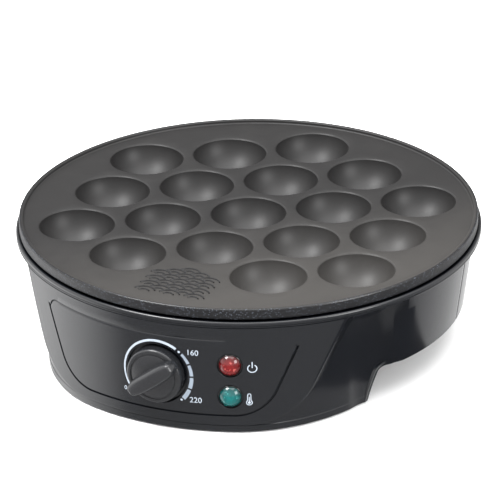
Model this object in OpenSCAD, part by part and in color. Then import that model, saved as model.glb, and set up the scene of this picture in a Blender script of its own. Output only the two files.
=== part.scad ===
// Countertop takoyaki maker: a cast plate with domed wells on a round moulded base.
// Millimetres, +Z up, front towards -Y. The origin is the bottom centre of the overall
// box, on the surface that the rubber feet stand on. Angles round the body are measured
// from the front, positive towards +X, and radii from the axis of the plate.

/* [Cooking plate] */
// Outer radius of the cast plate
plate_r = 136; // [135:0.5:137]
// Height of the plate's rim above the table
overall_h = 77.5; // [76:0.5:82]
// Height of the raised rim above the cooking surface
rim_h = 2.3; // [1.8:0.1:3]
// Width of the raised rim
rim_w = 2.6; // [2.2:0.1:3.4]
// Thickness of the casting between the wells
plate_t = 3.6; // [3:0.1:4.2]
// Height of the outer skirt, from the rim's top
skirt_h = 6.5; // [6:0.1:6.8]
// Thickness of the outer skirt
skirt_w = 3; // [2.4:0.1:3.4]
// Distance from the plate's edge in to the centres of the outer wells
edge_to_wells = 34; // [33.5:0.25:35]
// Width of the surface left between two wells
well_land = 6; // [5.6:0.2:9]
// Depth of a well below the cooking surface
well_depth = 20; // [17:0.5:20.5]
// Wall of the casting round a well
well_wall = 2.6; // [2:0.1:2.8]
// Size of the chamfer at a well's mouth
well_chamfer = 0.7; // [0.4:0.1:1]
// Distance from the plate's edge in to the centres of its bosses
edge_to_bosses = 17.5; // [17.5:0.25:18.5]
// Radius of a plate boss
boss_r = 5; // [4.4:0.2:5.4]

/* [Housing] */
// Reach of the lip past the plate's edge
lip_reach = 2; // [1.6:0.2:4]
// Height of the lip's band
lip_h = 3.7; // [3.2:0.1:4.5]
// Width of the lip's raised edge
lip_w = 2.2; // [1.8:0.1:2.6]
// Depth of the gutter inside the lip
gutter_depth = 2; // [1.5:0.1:2.4]
// Running gap between the lip and the skirt above it
lip_gap = 0.8; // [0.5:0.1:1.2]
// Wall thickness of the moulding
wall = 2.5; // [2:0.1:2.8]
// Step from the lip in to the front and rear walls
core_step = 0.6; // [0.5:0.1:1]
// How much smaller the foot's side curve is than those walls' radius
foot_curve_step = 32; // [31.4:0.2:32.6]
// Distance of the foot curve's centre from the plate axis
foot_curve_y = 36; // [35.6:0.2:36.4]
// Overhang of the lip past the drum's side walls
drum_overhang = 4; // [3.4:0.1:5]
// Draft of the drum's side walls, sideways per unit of height
drum_draft = 0.14; // [0.08:0.01:0.16]
// Angle at which the drum's side wall starts
drum_start = 54; // [53.5:0.25:54.5]
// Radius of a scoop between front panel and drum
scoop_r = 24; // [22:0.5:26]
// Angle of a scoop's centre
scoop_angle = 56; // [55.5:0.25:56.5]
// Depth of a scoop's floor behind the lip
scoop_step = 16; // [15.5:0.25:16.5]
// Depth of the flare's lower edge behind the lip
flare_low_step = 17; // [16.8:0.2:17.4]
// Depth of the flare's upper edge behind the lip
flare_top_step = 7; // [6:0.2:7.6]
// Height of the flare under the lip
flare_h = 9.4; // [9:0.2:10]
// Gap between the housing's lower edge and the table
skirt_clear = 1; // [0.8:0.1:1.4]

/* [Finger gaps] */
// Distance from the lip's front in to the ends of the finger gaps, at the table
grip_step = 70; // [68:0.5:74]
// Lean of those ends, sideways per unit of height
grip_lean = 0.27; // [0.1:0.01:0.32]
// Height of a finger gap above the table
grip_h = 22.5; // [20:0.5:24]
// Radius of a finger gap's upper corners
grip_corner = 5.5; // [4:0.5:8]
// Depth of the finger gaps in from the lip
waist_step = 54; // [50:1:58]

/* [Front panel] */
// How far the raised panel's face stands out past the lip
panel_step = 0.2; // [-0.2:0.1:0.4]
// Distance from the lip's side in to the panel's upper corners
panel_side_step = 38; // [36:1:42]
// Lean of the panel's side edges, sideways per unit of height
panel_lean = 0.395; // [0.35:0.01:0.42]
// Height of the panel's lower edge above the table
panel_bottom = 5; // [4:0.5:7]
// Radius of the panel's lower corners
panel_corner = 38; // [34:1:42]
// Inset of the groove from the panel's side edges
groove_side = 15.8; // [13:0.2:17]
// Inset of the groove from the panel's lower edge
groove_low = 6; // [5:0.5:7]
// Radius of the groove's lower corners
groove_corner = 25; // [22:1:28]
// Distance from the lip down to the groove's upper ends
groove_drop = 12.5; // [9.5:0.5:16.5]
// Width of the groove
groove_w = 1.3; // [1:0.1:1.8]
// Depth of the groove
groove_depth = 1; // [0.6:0.1:1.4]

/* [Knob] */
// Distance from the rim's top down to the knob's axis
knob_drop = 43.3; // [42.1:0.2:44.5]
// Radius of the round pocket that the knob sits in
pocket_r = 18.5; // [18:0.1:19]
// Depth of that pocket below the panel's face
pocket_depth = 3; // [2.6:0.1:3.4]
// Radius of the knob's disc
knob_r = 16.6; // [16:0.1:17]
// Gap between the knob and the pocket's floor
knob_gap = 0.8; // [0.5:0.1:1.2]
// Thickness of the knob's disc
knob_disc_t = 7; // [6.4:0.2:8]
// Height of the bar grip in front of the disc
grip_bar_h = 7.4; // [6:0.2:9]
// Length of the bar grip
grip_bar_l = 35.5; // [34:0.5:36.5]
// Width of the bar grip
grip_bar_w = 10.6; // [9:0.2:12]
// Direction of the grip's pointer at rest, clockwise from the right
knob_rest = 143; // [138:1:148]
// Radius of the shaft
shaft_r = 3; // [2.8:0.1:3.1]
// Radial clearance of the shaft in its collar
shaft_clear = 0.05; // [0.03:0.01:0.08]
// Radius of the threaded collar
collar_r = 4.6; // [4.4:0.1:4.8]

/* [Lamps] */
// Angle of the lamps from the front
lamp_angle = 17.9; // [17:0.1:18.6]
// Rise of the upper lamp above the knob's axis
lamp_rise = 9; // [8.4:0.2:9.8]
// Fall of the lower lamp below the knob's axis
lamp_fall = 10.7; // [10.2:0.1:11.2]
// Radius of a lens flange
lens_r = 6.8; // [6.4:0.1:7]
// Height of a lens dome
lens_dome = 3.4; // [2.6:0.1:4]
// Radius of the lens barrel through the wall
barrel_r = 5.2; // [4.8:0.1:5.4]

/* [Heater] */
// Radius of the heating tube
tube_r = 3.3; // [3:0.1:3.4]
// Half angle of the gap between the ring's ends
ring_gap = 9; // [8:0.5:11]
// Gap between the tube and the wells beside it
tube_clear = 0.3; // [0.25:0.05:0.5]
// Distance from the rim's top down to the reflector's floor
reflector_drop = 36; // [35:0.25:36.5]
// Sheet thickness of the reflector
sheet_t = 0.8; // [0.6:0.1:1]
// Rise of the reflector's flange above its floor
flange_rise = 3; // [2.4:0.2:3.6]
// Depth of the reflector's edge behind the lip
reflector_step = 14.6; // [14.6:0.2:15.2]

/* [Base] */
// Thickness of the bottom cover
cover_t = 2.2; // [1.8:0.1:2.6]
// Height of the rubber feet below the bottom cover
foot_h = 2.4; // [2.1:0.1:3]
// Radius of a rubber foot
foot_r = 8; // [7:0.5:9]
// Gap between the bottom cover and the housing
cover_clear = 0.4; // [0.3:0.05:0.6]
// Radius of the cord opening in the gland
cord_r = 3.6; // [3.2:0.1:4]

/* [Fasteners] */
// Radius of a plate screw
screw_r = 2; // [1.8:0.1:2.1]
// Radius of a small screw
small_screw_r = 1.5; // [1.3:0.1:1.6]
// Clearance round a screw
screw_clear = 0.2; // [0.15:0.05:0.3]

/* [Hidden] */
$fn = 96;
FN_ROUND = 144;
FN_PLATE = 180;
FN_BORE = 48;
FN_SMALL = 32;
FN_FINE = 24;
FN_LENS = 64;
CORNER_STEPS = 16;
DOME_STEPS = 10;
HEXAGON = 6;
BAR_END = 0.34;
eps = 0.01;
through = 1;
open = 20;
fit_room = 0.3;

// Cooking plate
top_z = overall_h - rim_h;
under_z = top_z - plate_t;
skirt_z = overall_h - skirt_h;
edge_soft = 0.7;
well_pitch = (plate_r - edge_to_wells) / 2;
mid_pitch = sqrt(3) * well_pitch;
well_r = (well_pitch - well_land) / 2;
bowl_r = (pow(well_r, 2) + pow(well_depth, 2)) / (2 * well_depth);
bowl_z = top_z - well_depth + bowl_r;
dome_r = bowl_r + well_wall;
boss_circle_r = plate_r - edge_to_bosses;
BOSS_ANGLES = [30, 150, 210, 330];
WELLS = concat([[0, 0]],
    [for (a = [0:60:300]) spot(well_pitch, a)],
    [for (a = [30:60:330]) spot(mid_pitch, a)],
    [for (a = [60:60:300]) spot(2 * well_pitch, a)]);

// Housing
lip_r = plate_r + lip_reach;
lip_top = skirt_z - lip_gap;
lip_low = lip_top - lip_h;
gutter_z = lip_top - gutter_depth;
core_r = lip_r - core_step;
foot_curve_r = core_r - foot_curve_step;
drum_top_r = lip_r - drum_overhang;
scoop_centre_r = lip_r - scoop_step + scoop_r;
flare_low_r = lip_r - flare_low_step;
flare_top_r = lip_r - flare_top_step;
grip_half = lip_r - grip_step;
grip_slope = sqrt(1 + pow(grip_lean, 2));
waist_half = lip_r - waist_step;
panel_r = lip_r + panel_step;
panel_half = lip_r - panel_side_step;
groove_top = lip_low - groove_drop;
SCOOPS = [scoop_angle, 180 - scoop_angle, 180 + scoop_angle, -scoop_angle];

// Heater, midway between two circles of wells, and the straps that hold it
ring_r = (well_pitch + mid_pitch) / 2;
tube_z = bowl_z - sqrt(pow(dome_r + tube_r + tube_clear, 2) - pow(mid_pitch - ring_r, 2));
bend_r = tube_r + 0.4;
strap_t = 1.5;
strap_w = 8;
strap_clear = 0.1;
strap_over = 2;
strap_z = tube_z - tube_r - strap_t - strap_clear;
clamp_r = well_pitch * sqrt(7 / 3);
CLAMP_ANGLES = [for (a = [60:120:300]) a - atan(sqrt(3) / 9)];
clamp_boss_r = 3.7;
clamp_screw_l = 7;
clamp_hole_l = 9;

// Reflector and the ends of the heater under it
reflector_r = lip_r - reflector_step;
reflector_z = overall_h - reflector_drop;
flange_z = reflector_z + flange_rise;
flange_top = flange_z + sheet_t;
flange_w = 20;
dish_r = reflector_r - flange_w;
reflector_gap = 3;
leg_hole_r = tube_r + 2;
end_low = reflector_z - 7;
pin_r = 1.5;
pin_low = end_low - 8;
bushing_r = tube_r + 1.8;
bushing_flange_r = tube_r + 3.4;
bushing_h = 5;
bushing_flange_h = 2.5;
bushing_top = 1.5;

// Posts of the housing that carry the reflector, and their screws
spacer_h = 12;
spacer_r = boss_r - 0.8;
boss_z = flange_top + spacer_h;
post_r = 5.6;
rib_w = 2;
head_h = 2.6;
head_r = 2 * screw_r;
head_bore_r = head_r + fit_room;
seat_z = flange_z - 8;
screw_top = boss_z + 8;
slot_w = 0.8;
slot_reach = 0.6;
small_head_r = 2.6;
small_head_h = 1.6;
sheet_screw_top = reflector_z + sheet_t + 2.6;

// Knob train, on an axis along Y
knob_z = overall_h - knob_drop;
panel_y = -panel_r;
pocket_y = panel_y + pocket_depth;
mount_wall = 3;
mount_rim = 1.5;
mount_y = pocket_y + mount_wall;
bracket_t = 1.2;
body_y = mount_y + bracket_t;
nut_t = 2.6;
nut_r = collar_r + 3;
collar_clear = 0.2;
collar_y = pocket_y - nut_t - 0.8;
knob_back = pocket_y - knob_gap;
knob_face = knob_back - knob_disc_t;
knob_front = knob_face - grip_bar_h;
knob_chamfer = 1.2;
hub_play = 0.6;
knob_crown = 46;
bar_root = 2;
hub_y = collar_y - hub_play;
hub_r = collar_r + 4.6;
shaft_front = knob_face - 3;
shaft_back = body_y + 10;
flat_off = shaft_r - 0.7;
ring_groove = [knob_r - 2.2, knob_r - 3, 0.5];

// Thermostat, its bracket and its contacts
body_l = 24;
body_w = 17;
body_low = 12;
body_plate = 3;
body_step = 2;
body_bore = 0.6;
bracket_w = 20;
bracket_leg = 38;
bracket_low = 13;
bracket_top = reflector_z - bracket_t;
bracket_hole_y = mount_y + bracket_leg - 5;
BRACKET_X = [-6, 6];
body_high = bracket_top - knob_z - 0.5;
strip_t = 0.8;
strip_w = 6;
strip_l = 24;
strip_y = body_y + body_l - 8;
strip_z = knob_z - body_low + body_step;
blade_l = 22;
blade_h = 5;
blade_x = body_w / 2 - 2;
blade_y = body_y + 8;
blade_z = knob_z - 2;

// Lamps, on axes along the panel's radius
LAMPS = [knob_z + lamp_rise, knob_z - lamp_fall];
lens_seat = panel_r - 1.2;
lens_back = panel_r - 8.7;
lens_base = 1;
lens_clear = 0.5;
bore_r = barrel_r - 1.5;
clip_w = 2.4;
clip_t = 0.8;
fit = 0.05;
lead_r = 0.4;
lead_x = 1.5;
lead_l = 6;

// Base
cover_z = foot_h;
cover_top = cover_z + cover_t;
COVER_BOSSES = [44, 136, 224, 316];
cover_boss_r = 4.8;
cover_boss_h = 10;
wall_to_boss = 4;
cover_boss_x = waist_half - wall - wall_to_boss;
cover_head = [2.8, 1.3];
foot_x = waist_half - 14;
foot_y = waist_half;
foot_taper = 0.8;
foot_stem_r = 2.4;
foot_hole_r = 2.5;
foot_barb = [3.2, 2, 2];
VENT = [26, 3, 7];
vent_x = 23;
vent_rows = 4;
gland_z = 17;
gland_hole_r = cord_r + 2;
gland_out = 3;
gland_rim = 2.4;
gland_barb = 1.6;
gland_play = 0.6;

// Fuse, earth tab and terminal block
fuse_x = -34;
fuse_y = -62;
fuse_off = 6;
fuse_r = 2;
fuse_l = 11;
fuse_lead_r = 0.5;
fuse_lead = 7;
clip_sheet = 0.6;
clip_half = 3;
clip_side = 4;
fuse_z = reflector_z - clip_sheet - fuse_r;
tab_t = 0.8;
tab_r = 3.4;
TAB = [12, 4];
tab_z = reflector_z - clip_sheet - tab_t;
tab_head_r = 2.8;
block_y = 72;
BLOCK = [30, 16, 15];
block_bore_r = 2;
block_bore_z = 6;
block_well_r = 2.2;
block_well_z = 8;
block_step = 9;

// Leads: round joints with straight runs that end inside them
wire_r = 1;
joint_r = 1.5 * wire_r;
joint_gap = 1.05 * wire_r;
joint_room = 0.2;
JOINT_TURN = [37, 23, 0];
leg_x = ring_r * sin(ring_gap);
leg_y = -ring_r * cos(ring_gap);
leg_z = pin_low - joint_r - joint_room;
contact_x = blade_x + strip_t / 2;
contact_y = blade_y + blade_l + joint_r + joint_room;
contact_z = blade_z + blade_h / 2;
wire_z = cover_top + block_bore_z;
wire_y = block_y - 5;
fuse_end = fuse_l / 2 + fuse_lead + joint_r + fit_room;
earth_x = fuse_x - TAB[0] - joint_r - joint_room;
WIRES = [
    // supply to the fuse, and from the fuse to the right leg of the heater
    [[0, wire_y, wire_z], [0, 50, wire_z], [-26, -40, 18], [-28, -86, 26],
     [fuse_x + fuse_off, fuse_y - fuse_end, fuse_z]],
    [[fuse_x + fuse_off, fuse_y + fuse_end, fuse_z], [-20, -44, 28], [4, -56, 27],
     [leg_x, leg_y, leg_z]],
    // left leg of the heater to the thermostat, and back to the terminal block
    [[-leg_x, leg_y, leg_z], [-9, (leg_y + contact_y) / 2, knob_z - 8.2],
     [-contact_x, contact_y, contact_z]],
    [[contact_x, contact_y, contact_z], [14, contact_y + 19.3, 22], [24, -20, 14],
     [block_step, 50, wire_z], [block_step, wire_y, wire_z]],
    // earth lead
    [[-block_step, wire_y, wire_z], [-block_step, 52, wire_z], [-45, 10, 12],
     [earth_x, fuse_y, 22], [earth_x, fuse_y, tab_z - 0.4]]
];

// Whole object, centred on its overall box
rear_reach = core_r + gland_out;
axis_y = (-knob_front - rear_reach) / 2;

function spot(r, a) = [r * sin(a), -r * cos(a)];
function arc(c, r, from, to, steps) =
    [for (i = [0:steps]) c + r * [cos(from + (to - from) * i / steps),
                                  sin(from + (to - from) * i / steps)]];
// Radius of the front or rear wall at an angle from the front
function core_at(a) = foot_curve_y * cos(a)
    + sqrt(pow(foot_curve_r, 2) - pow(foot_curve_y * sin(a), 2));

// Half of a finger gap's length at a height, grown by the inset
function grip_at(z, inset) = grip_half + inset * grip_slope - grip_lean * z;

module placed() {
    translate([0, axis_y, 0]) children();
}

module around(r, a) {
    rotate([0, 0, a]) translate([0, -r, 0]) children();
}

// A cylinder along +Y from y0 to y1
module along_y(r, y0, y1, sides = $fn) {
    translate([0, y1, 0]) rotate([90, 0, 0]) cylinder(r = r, h = y1 - y0, $fn = sides);
}

// ---- Cooking plate and what hangs under it ----

module plate_profile() {
    soft = edge_soft;
    inner = plate_r - rim_w;
    polygon(concat(
        [[0, under_z], [0, top_z], [inner - soft, top_z]],
        [[inner, top_z + soft], [inner, overall_h - soft]],
        arc([inner + soft, overall_h - soft], soft, 180, 90, 4),
        arc([plate_r - soft, overall_h - soft], soft, 90, 0, 4),
        [[plate_r, skirt_z + soft], [plate_r - soft, skirt_z]],
        [[plate_r - skirt_w, skirt_z], [plate_r - skirt_w, under_z]]));
}

module well_domes() {
    intersection() {
        union() {
            for (p = WELLS) translate([p[0], p[1], bowl_z]) sphere(r = dome_r);
        }
        translate([0, 0, bowl_z - dome_r - through])
            cylinder(r = plate_r - skirt_w - through, h = top_z - bowl_z + dome_r);
    }
}

module plate_bosses() {
    for (a = BOSS_ANGLES) around(boss_circle_r, a)
        translate([0, 0, boss_z]) cylinder(r = boss_r, h = top_z - boss_z - through, $fn = FN_BORE);
    for (a = CLAMP_ANGLES) around(clamp_r, a)
        translate([0, 0, strap_z + strap_t])
            cylinder(r = clamp_boss_r, h = top_z - strap_z - strap_t - through,
                     $fn = FN_BORE);
}

module cooking_plate() {
    color([0.40, 0.39, 0.37]) placed() difference() {
        union() {
            rotate_extrude($fn = FN_PLATE) plate_profile();
            well_domes();
            plate_bosses();
        }
        for (p = WELLS) translate([p[0], p[1], 0]) {
            translate([0, 0, bowl_z]) sphere(r = bowl_r);
            translate([0, 0, top_z - well_chamfer])
                cylinder(r1 = well_r - well_chamfer, r2 = well_r + well_chamfer,
                         h = 2 * well_chamfer);
        }
        for (a = BOSS_ANGLES) around(boss_circle_r, a)
            translate([0, 0, boss_z - open])
                cylinder(r = screw_r, h = screw_top - boss_z + open + through, $fn = FN_SMALL);
        for (a = CLAMP_ANGLES) around(clamp_r, a)
            translate([0, 0, strap_z])
                cylinder(r = small_screw_r, h = strap_t + clamp_hole_l, $fn = FN_SMALL);
    }
}

module heating_element() {
    color([0.33, 0.31, 0.30]) placed() {
        translate([0, 0, tube_z]) rotate([0, 0, ring_gap - 90])
            rotate_extrude(angle = 360 - 2 * ring_gap)
                translate([ring_r, 0]) circle(r = tube_r, $fn = FN_BORE);
        for (side = [-1, 1]) heater_leg(side) {
            translate([0, 0, tube_z]) rotate(JOINT_TURN) sphere(r = bend_r, $fn = FN_BORE);
            translate([0, 0, end_low]) cylinder(r = tube_r, h = tube_z - end_low, $fn = FN_BORE);
            translate([0, 0, pin_low]) cylinder(r = pin_r, h = end_low - pin_low, $fn = FN_SMALL);
        }
    }
}

// Place of one of the heater's legs
module heater_leg(side) {
    rotate([0, 0, side * ring_gap]) translate([0, -ring_r, 0]) children();
}

module heater_clamps() {
    inner = ring_r - tube_r - strap_over;
    outer = clamp_r + clamp_boss_r + strap_over / 2;
    color([0.70, 0.70, 0.70]) placed() for (a = CLAMP_ANGLES) difference() {
        rotate([0, 0, a]) translate([-strap_w / 2, -outer, strap_z])
            cube([strap_w, outer - inner, strap_t]);
        around(clamp_r, a) small_hole(strap_z, strap_t);
    }
}

// Clearance hole for a small screw through a sheet that starts at a height
module small_hole(z, t) {
    translate([0, 0, z - through])
        cylinder(r = small_screw_r + screw_clear, h = t + 2 * through, $fn = FN_SMALL);
}

// Screw with a crossed slot in its head, which is below
module screw(r, low, high, head_r, head_h) {
    slot = 2 * slot_reach * head_r;
    translate([0, 0, low]) cylinder(r = r, h = high - low, $fn = FN_SMALL);
    difference() {
        translate([0, 0, low - head_h]) cylinder(r = head_r, h = head_h, $fn = FN_SMALL);
        for (turn = [0, 90]) rotate([0, 0, turn])
            translate([-slot / 2, -slot_w / 2, low - head_h - through])
                cube([slot, slot_w, through + head_h / 2]);
    }
}

module clamp_screws() {
    color([0.78, 0.78, 0.76]) placed() for (a = CLAMP_ANGLES) around(clamp_r, a)
        screw(small_screw_r, strap_z, strap_z + strap_t + clamp_screw_l,
              small_head_r, small_head_h);
}

module heater_bushings() {
    color([0.93, 0.91, 0.86]) placed() for (side = [-1, 1]) heater_leg(side)
        difference() {
            translate([0, 0, reflector_z - bushing_h]) union() {
                cylinder(r = bushing_r, h = bushing_h + sheet_t + bushing_top, $fn = FN_BORE);
                translate([0, 0, bushing_h - bushing_flange_h])
                    cylinder(r = bushing_flange_r, h = bushing_flange_h, $fn = FN_BORE);
            }
            translate([0, 0, reflector_z - bushing_h - through])
                cylinder(r = tube_r + strap_clear, h = 2 * bushing_h, $fn = FN_BORE);
        }
}

module reflector_profile() {
    polygon([[0, reflector_z], [0, reflector_z + sheet_t], [dish_r, reflector_z + sheet_t],
             [dish_r + flange_rise, flange_top], [reflector_r, flange_top],
             [reflector_r, flange_z], [dish_r + flange_rise + sheet_t / 2, flange_z],
             [dish_r + sheet_t / 2, reflector_z]]);
}

module heat_reflector() {
    color([0.76, 0.76, 0.75]) placed() difference() {
        rotate_extrude($fn = FN_PLATE) reflector_profile();
        for (a = SCOOPS) around(scoop_centre_r, a) translate([0, 0, reflector_z - through])
            cylinder(r = scoop_r + wall + reflector_gap, h = flange_rise + sheet_t + 2 * through,
                     $fn = FN_ROUND / 2);
        for (a = BOSS_ANGLES) around(boss_circle_r, a) translate([0, 0, flange_z - through])
            cylinder(r = screw_r + screw_clear, h = sheet_t + 2 * through, $fn = FN_SMALL);
        for (side = [-1, 1]) heater_leg(side) translate([0, 0, reflector_z - through])
            cylinder(r = leg_hole_r, h = sheet_t + 2 * through, $fn = FN_BORE);
        for (x = BRACKET_X) translate([x, bracket_hole_y, 0]) small_hole(reflector_z, sheet_t);
        translate([fuse_x, fuse_y, 0]) small_hole(reflector_z, sheet_t);
    }
}

module plate_spacers() {
    color([0.80, 0.80, 0.79]) placed() for (a = BOSS_ANGLES) around(boss_circle_r, a)
        difference() {
            translate([0, 0, flange_top]) cylinder(r = spacer_r, h = spacer_h, $fn = FN_BORE);
            translate([0, 0, flange_top - through])
                cylinder(r = screw_r + screw_clear, h = spacer_h + 2 * through, $fn = FN_BORE);
        }
}

module plate_screws() {
    color([0.78, 0.78, 0.76]) placed() for (a = BOSS_ANGLES) around(boss_circle_r, a)
        screw(screw_r, seat_z, screw_top, head_r, head_h);
}

// ---- Housing ----

// Plan of the front and rear walls, drawn in by the inset
module core_plan(inset) {
    for (s = [-1, 1]) intersection() {
        circle(r = core_r - inset, $fn = FN_ROUND);
        translate([0, s * foot_curve_y]) circle(r = foot_curve_r - inset, $fn = FN_ROUND);
    }
}

// Side walls of the drum between the scoops
module drum(inset, top) {
    low = grip_h - 2 * wall;
    span = lip_low - low;
    intersection() {
        translate([0, 0, low]) union() {
            cylinder(r1 = drum_top_r - inset - drum_draft * span,
                     r2 = drum_top_r - inset, h = span, $fn = FN_ROUND);
            translate([0, 0, span - eps])
                cylinder(r = drum_top_r - inset, h = top - lip_low + eps, $fn = FN_ROUND);
        }
        for (s = [-1, 1]) rotate([0, 0, 90 * s]) translate([0, 0, low - through])
            linear_extrude(top - low + 2 * through)
                polygon([[0, 0], 2 * lip_r * [-cos(drum_start), -sin(drum_start)],
                         2 * lip_r * [cos(drum_start), -sin(drum_start)]]);
    }
}

// Front view of the panel, or of a smaller outline inside it
module panel_outline(side, low, corner, top) {
    mid = panel_bottom + low + corner;
    lean = sqrt(1 + pow(panel_lean, 2));
    edge = panel_half - side * lean - panel_lean * (lip_low - mid);
    centre = edge - corner * lean;
    turn = atan(panel_lean);
    high = edge + panel_lean * (top - mid);
    polygon(concat(
        arc([centre, mid], corner, -turn, -90, CORNER_STEPS),
        arc([-centre, mid], corner, -90, -180 + turn, CORNER_STEPS),
        [[-high, top], [high, top]]));
}

// A front view pushed back through the front wall
module through_front() {
    translate([0, -lip_r / 2, 0]) rotate([90, 0, 0]) linear_extrude(lip_r) children();
}

module panel(inset, top) {
    intersection() {
        cylinder(r = panel_r - inset, h = top, $fn = FN_ROUND);
        through_front() panel_outline(inset, inset, panel_corner - inset, top);
    }
}

// Side view of a finger gap, grown by the inset and pushed through both sides
module grip_cutters(inset) {
    corner = grip_corner + inset;
    mid = grip_h + inset - corner;
    centre = grip_at(mid, inset) - corner * grip_slope;
    turn = atan(grip_lean);
    for (s = [-1, 1]) translate([s > 0 ? waist_half - inset : -lip_r - open, 0, 0])
        rotate([90, 0, 90]) linear_extrude(lip_r + open - waist_half + inset)
            polygon(concat([[-grip_at(-open, inset), -open], [grip_at(-open, inset), -open]],
                arc([centre, mid], corner, turn, 90, CORNER_STEPS / 2),
                arc([-centre, mid], corner, 90, 180 - turn, CORNER_STEPS / 2)));
}

module scoop_cutters(inset, low, high) {
    for (a = SCOOPS) around(scoop_centre_r, a) translate([0, 0, low])
        cylinder(r = scoop_r + inset, h = high - low, $fn = FN_ROUND / 2);
}

// Cone that carries the lip out past the outer wells above the scoops
module flare(inset, top) {
    low = lip_low - flare_h;
    rotate_extrude($fn = FN_ROUND)
        polygon([[0, low], [flare_low_r - inset, low], [flare_top_r - inset, lip_low],
                 [flare_top_r - inset, top], [0, top]]);
}

// The body inside its skin: inset 0 is the outer form, inset wall the hollow
module body_form(inset, low, high) {
    difference() {
        union() {
            translate([0, 0, low]) linear_extrude(high - low) core_plan(inset);
            drum(inset, high);
            panel(inset, high);
        }
        scoop_cutters(inset, low - through, high + through);
        grip_cutters(inset);
    }
    flare(inset, high);
}

module cover_boss_places() {
    for (a = COVER_BOSSES) around(core_at(COVER_BOSSES[0]) - wall - wall_to_boss, a) children();
    for (s = [-1, 1]) translate([s * cover_boss_x, 0, 0]) children();
}

module posts() {
    rib = core_at(BOSS_ANGLES[0]) - boss_circle_r - wall / 2;
    post_h = flange_z - cover_top;
    for (a = BOSS_ANGLES) {
        around(boss_circle_r, a) translate([0, 0, cover_top])
            cylinder(r = post_r, h = post_h, $fn = FN_ROUND / 4);
        rotate([0, 0, a]) translate([-rib_w / 2, -boss_circle_r - rib, cover_top])
            cube([rib_w, rib, post_h]);
    }
    cover_boss_places() translate([0, 0, cover_top])
        cylinder(r = cover_boss_r, h = cover_boss_h, $fn = FN_ROUND / 4);
}

module post_bores() {
    for (a = BOSS_ANGLES) around(boss_circle_r, a) {
        translate([0, 0, cover_z])
            cylinder(r = head_bore_r, h = seat_z - cover_z, $fn = FN_ROUND / 4);
        translate([0, 0, seat_z - through])
            cylinder(r = screw_r + screw_clear, h = flange_z - seat_z + 2 * through,
                     $fn = FN_SMALL);
    }
    cover_boss_places() translate([0, 0, cover_z])
        cylinder(r = small_screw_r, h = cover_boss_h, $fn = FN_SMALL);
}

// U-shaped groove: the band between two outlines, cut into the panel's face
module groove() {
    difference() {
        intersection() {
            through_front() difference() {
                panel_outline(groove_side, groove_low, groove_corner, groove_top);
                panel_outline(groove_side + groove_w, groove_low + groove_w,
                              groove_corner - groove_w, groove_top + through);
            }
            cylinder(r = panel_r + through, h = lip_top, $fn = FN_ROUND);
        }
        translate([0, 0, -through])
            cylinder(r = panel_r - groove_depth, h = lip_top + 2 * through, $fn = FN_ROUND);
    }
}

module lamp_axis(z) {
    rotate([0, 0, lamp_angle]) translate([0, 0, z]) children();
}

module housing() {
    low = skirt_clear;
    color([0.23, 0.24, 0.25]) placed() difference() {
        union() {
            difference() {
                union() {
                    body_form(0, low, lip_low + eps);
                    translate([0, 0, lip_low]) cylinder(r = lip_r, h = lip_h, $fn = FN_ROUND);
                }
                body_form(wall, low - open, lip_top + open);
                translate([0, 0, gutter_z])
                    cylinder(r = lip_r - lip_w, h = gutter_depth + through, $fn = FN_ROUND);
            }
            posts();
            translate([0, 0, knob_z])
                along_y(pocket_r + mount_rim, panel_y + through, mount_y);
        }
        post_bores();
        groove();
        translate([0, 0, knob_z]) {
            along_y(pocket_r, panel_y - open, pocket_y);
            along_y(collar_r + collar_clear, pocket_y - through, mount_y + through, FN_BORE);
        }
        for (z = LAMPS) lamp_axis(z) {
            along_y(lens_r + lens_clear, panel_y - through, -lens_seat, FN_LENS);
            along_y(barrel_r + collar_clear, -lens_seat - through, panel_y + 2 * wall, FN_LENS);
        }
        translate([0, 0, gland_z])
            along_y(gland_hole_r + strap_clear, core_r - 2 * wall, core_r + through, FN_BORE);
    }
}

// ---- Base ----

module cover_plan(inset) {
    difference() {
        core_plan(inset);
        for (s = [-1, 1]) translate([s * (waist_half - inset + 2 * open), 0])
            square([4 * open, 2 * grip_at(cover_z, inset)], center = true);
        for (a = SCOOPS) translate(spot(scoop_centre_r, a))
            circle(r = scoop_r + inset, $fn = FN_ROUND / 2);
    }
}

module vents() {
    for (s = [-1, 1]) for (i = [-vent_rows:vent_rows])
        translate([s > 0 ? vent_x : -vent_x - VENT[0], i * VENT[2] - VENT[1] / 2,
                   cover_z - through])
            cube([VENT[0], VENT[1], cover_t + 2 * through]);
}

module foot_places() {
    for (sx = [-1, 1]) for (sy = [-1, 1]) translate([sx * foot_x, sy * foot_y, 0]) children();
}

module bottom_cover() {
    color([0.16, 0.16, 0.17]) placed() difference() {
        translate([0, 0, cover_z]) linear_extrude(cover_t) cover_plan(wall + cover_clear);
        vents();
        cover_boss_places() small_hole(cover_z, cover_t);
        for (a = BOSS_ANGLES) around(boss_circle_r, a) translate([0, 0, cover_z - through])
            cylinder(r = head_bore_r, h = cover_t + 2 * through, $fn = FN_BORE);
        foot_places() translate([0, 0, cover_z - through])
            cylinder(r = foot_hole_r, h = cover_t + 2 * through, $fn = FN_SMALL);
    }
}

module cover_screws() {
    color([0.55, 0.55, 0.55]) placed() cover_boss_places()
        screw(small_screw_r, cover_z, cover_z + cover_boss_h - through,
              cover_head[0], cover_head[1]);
}

module rubber_feet() {
    color([0.10, 0.10, 0.10]) placed() foot_places() {
        cylinder(r1 = foot_r - foot_taper, r2 = foot_r, h = foot_h, $fn = FN_BORE);
        translate([0, 0, foot_h]) cylinder(r = foot_stem_r, h = cover_t, $fn = FN_SMALL);
        translate([0, 0, cover_top])
            cylinder(r1 = foot_barb[0], r2 = foot_barb[1], h = foot_barb[2], $fn = FN_SMALL);
    }
}

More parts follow.
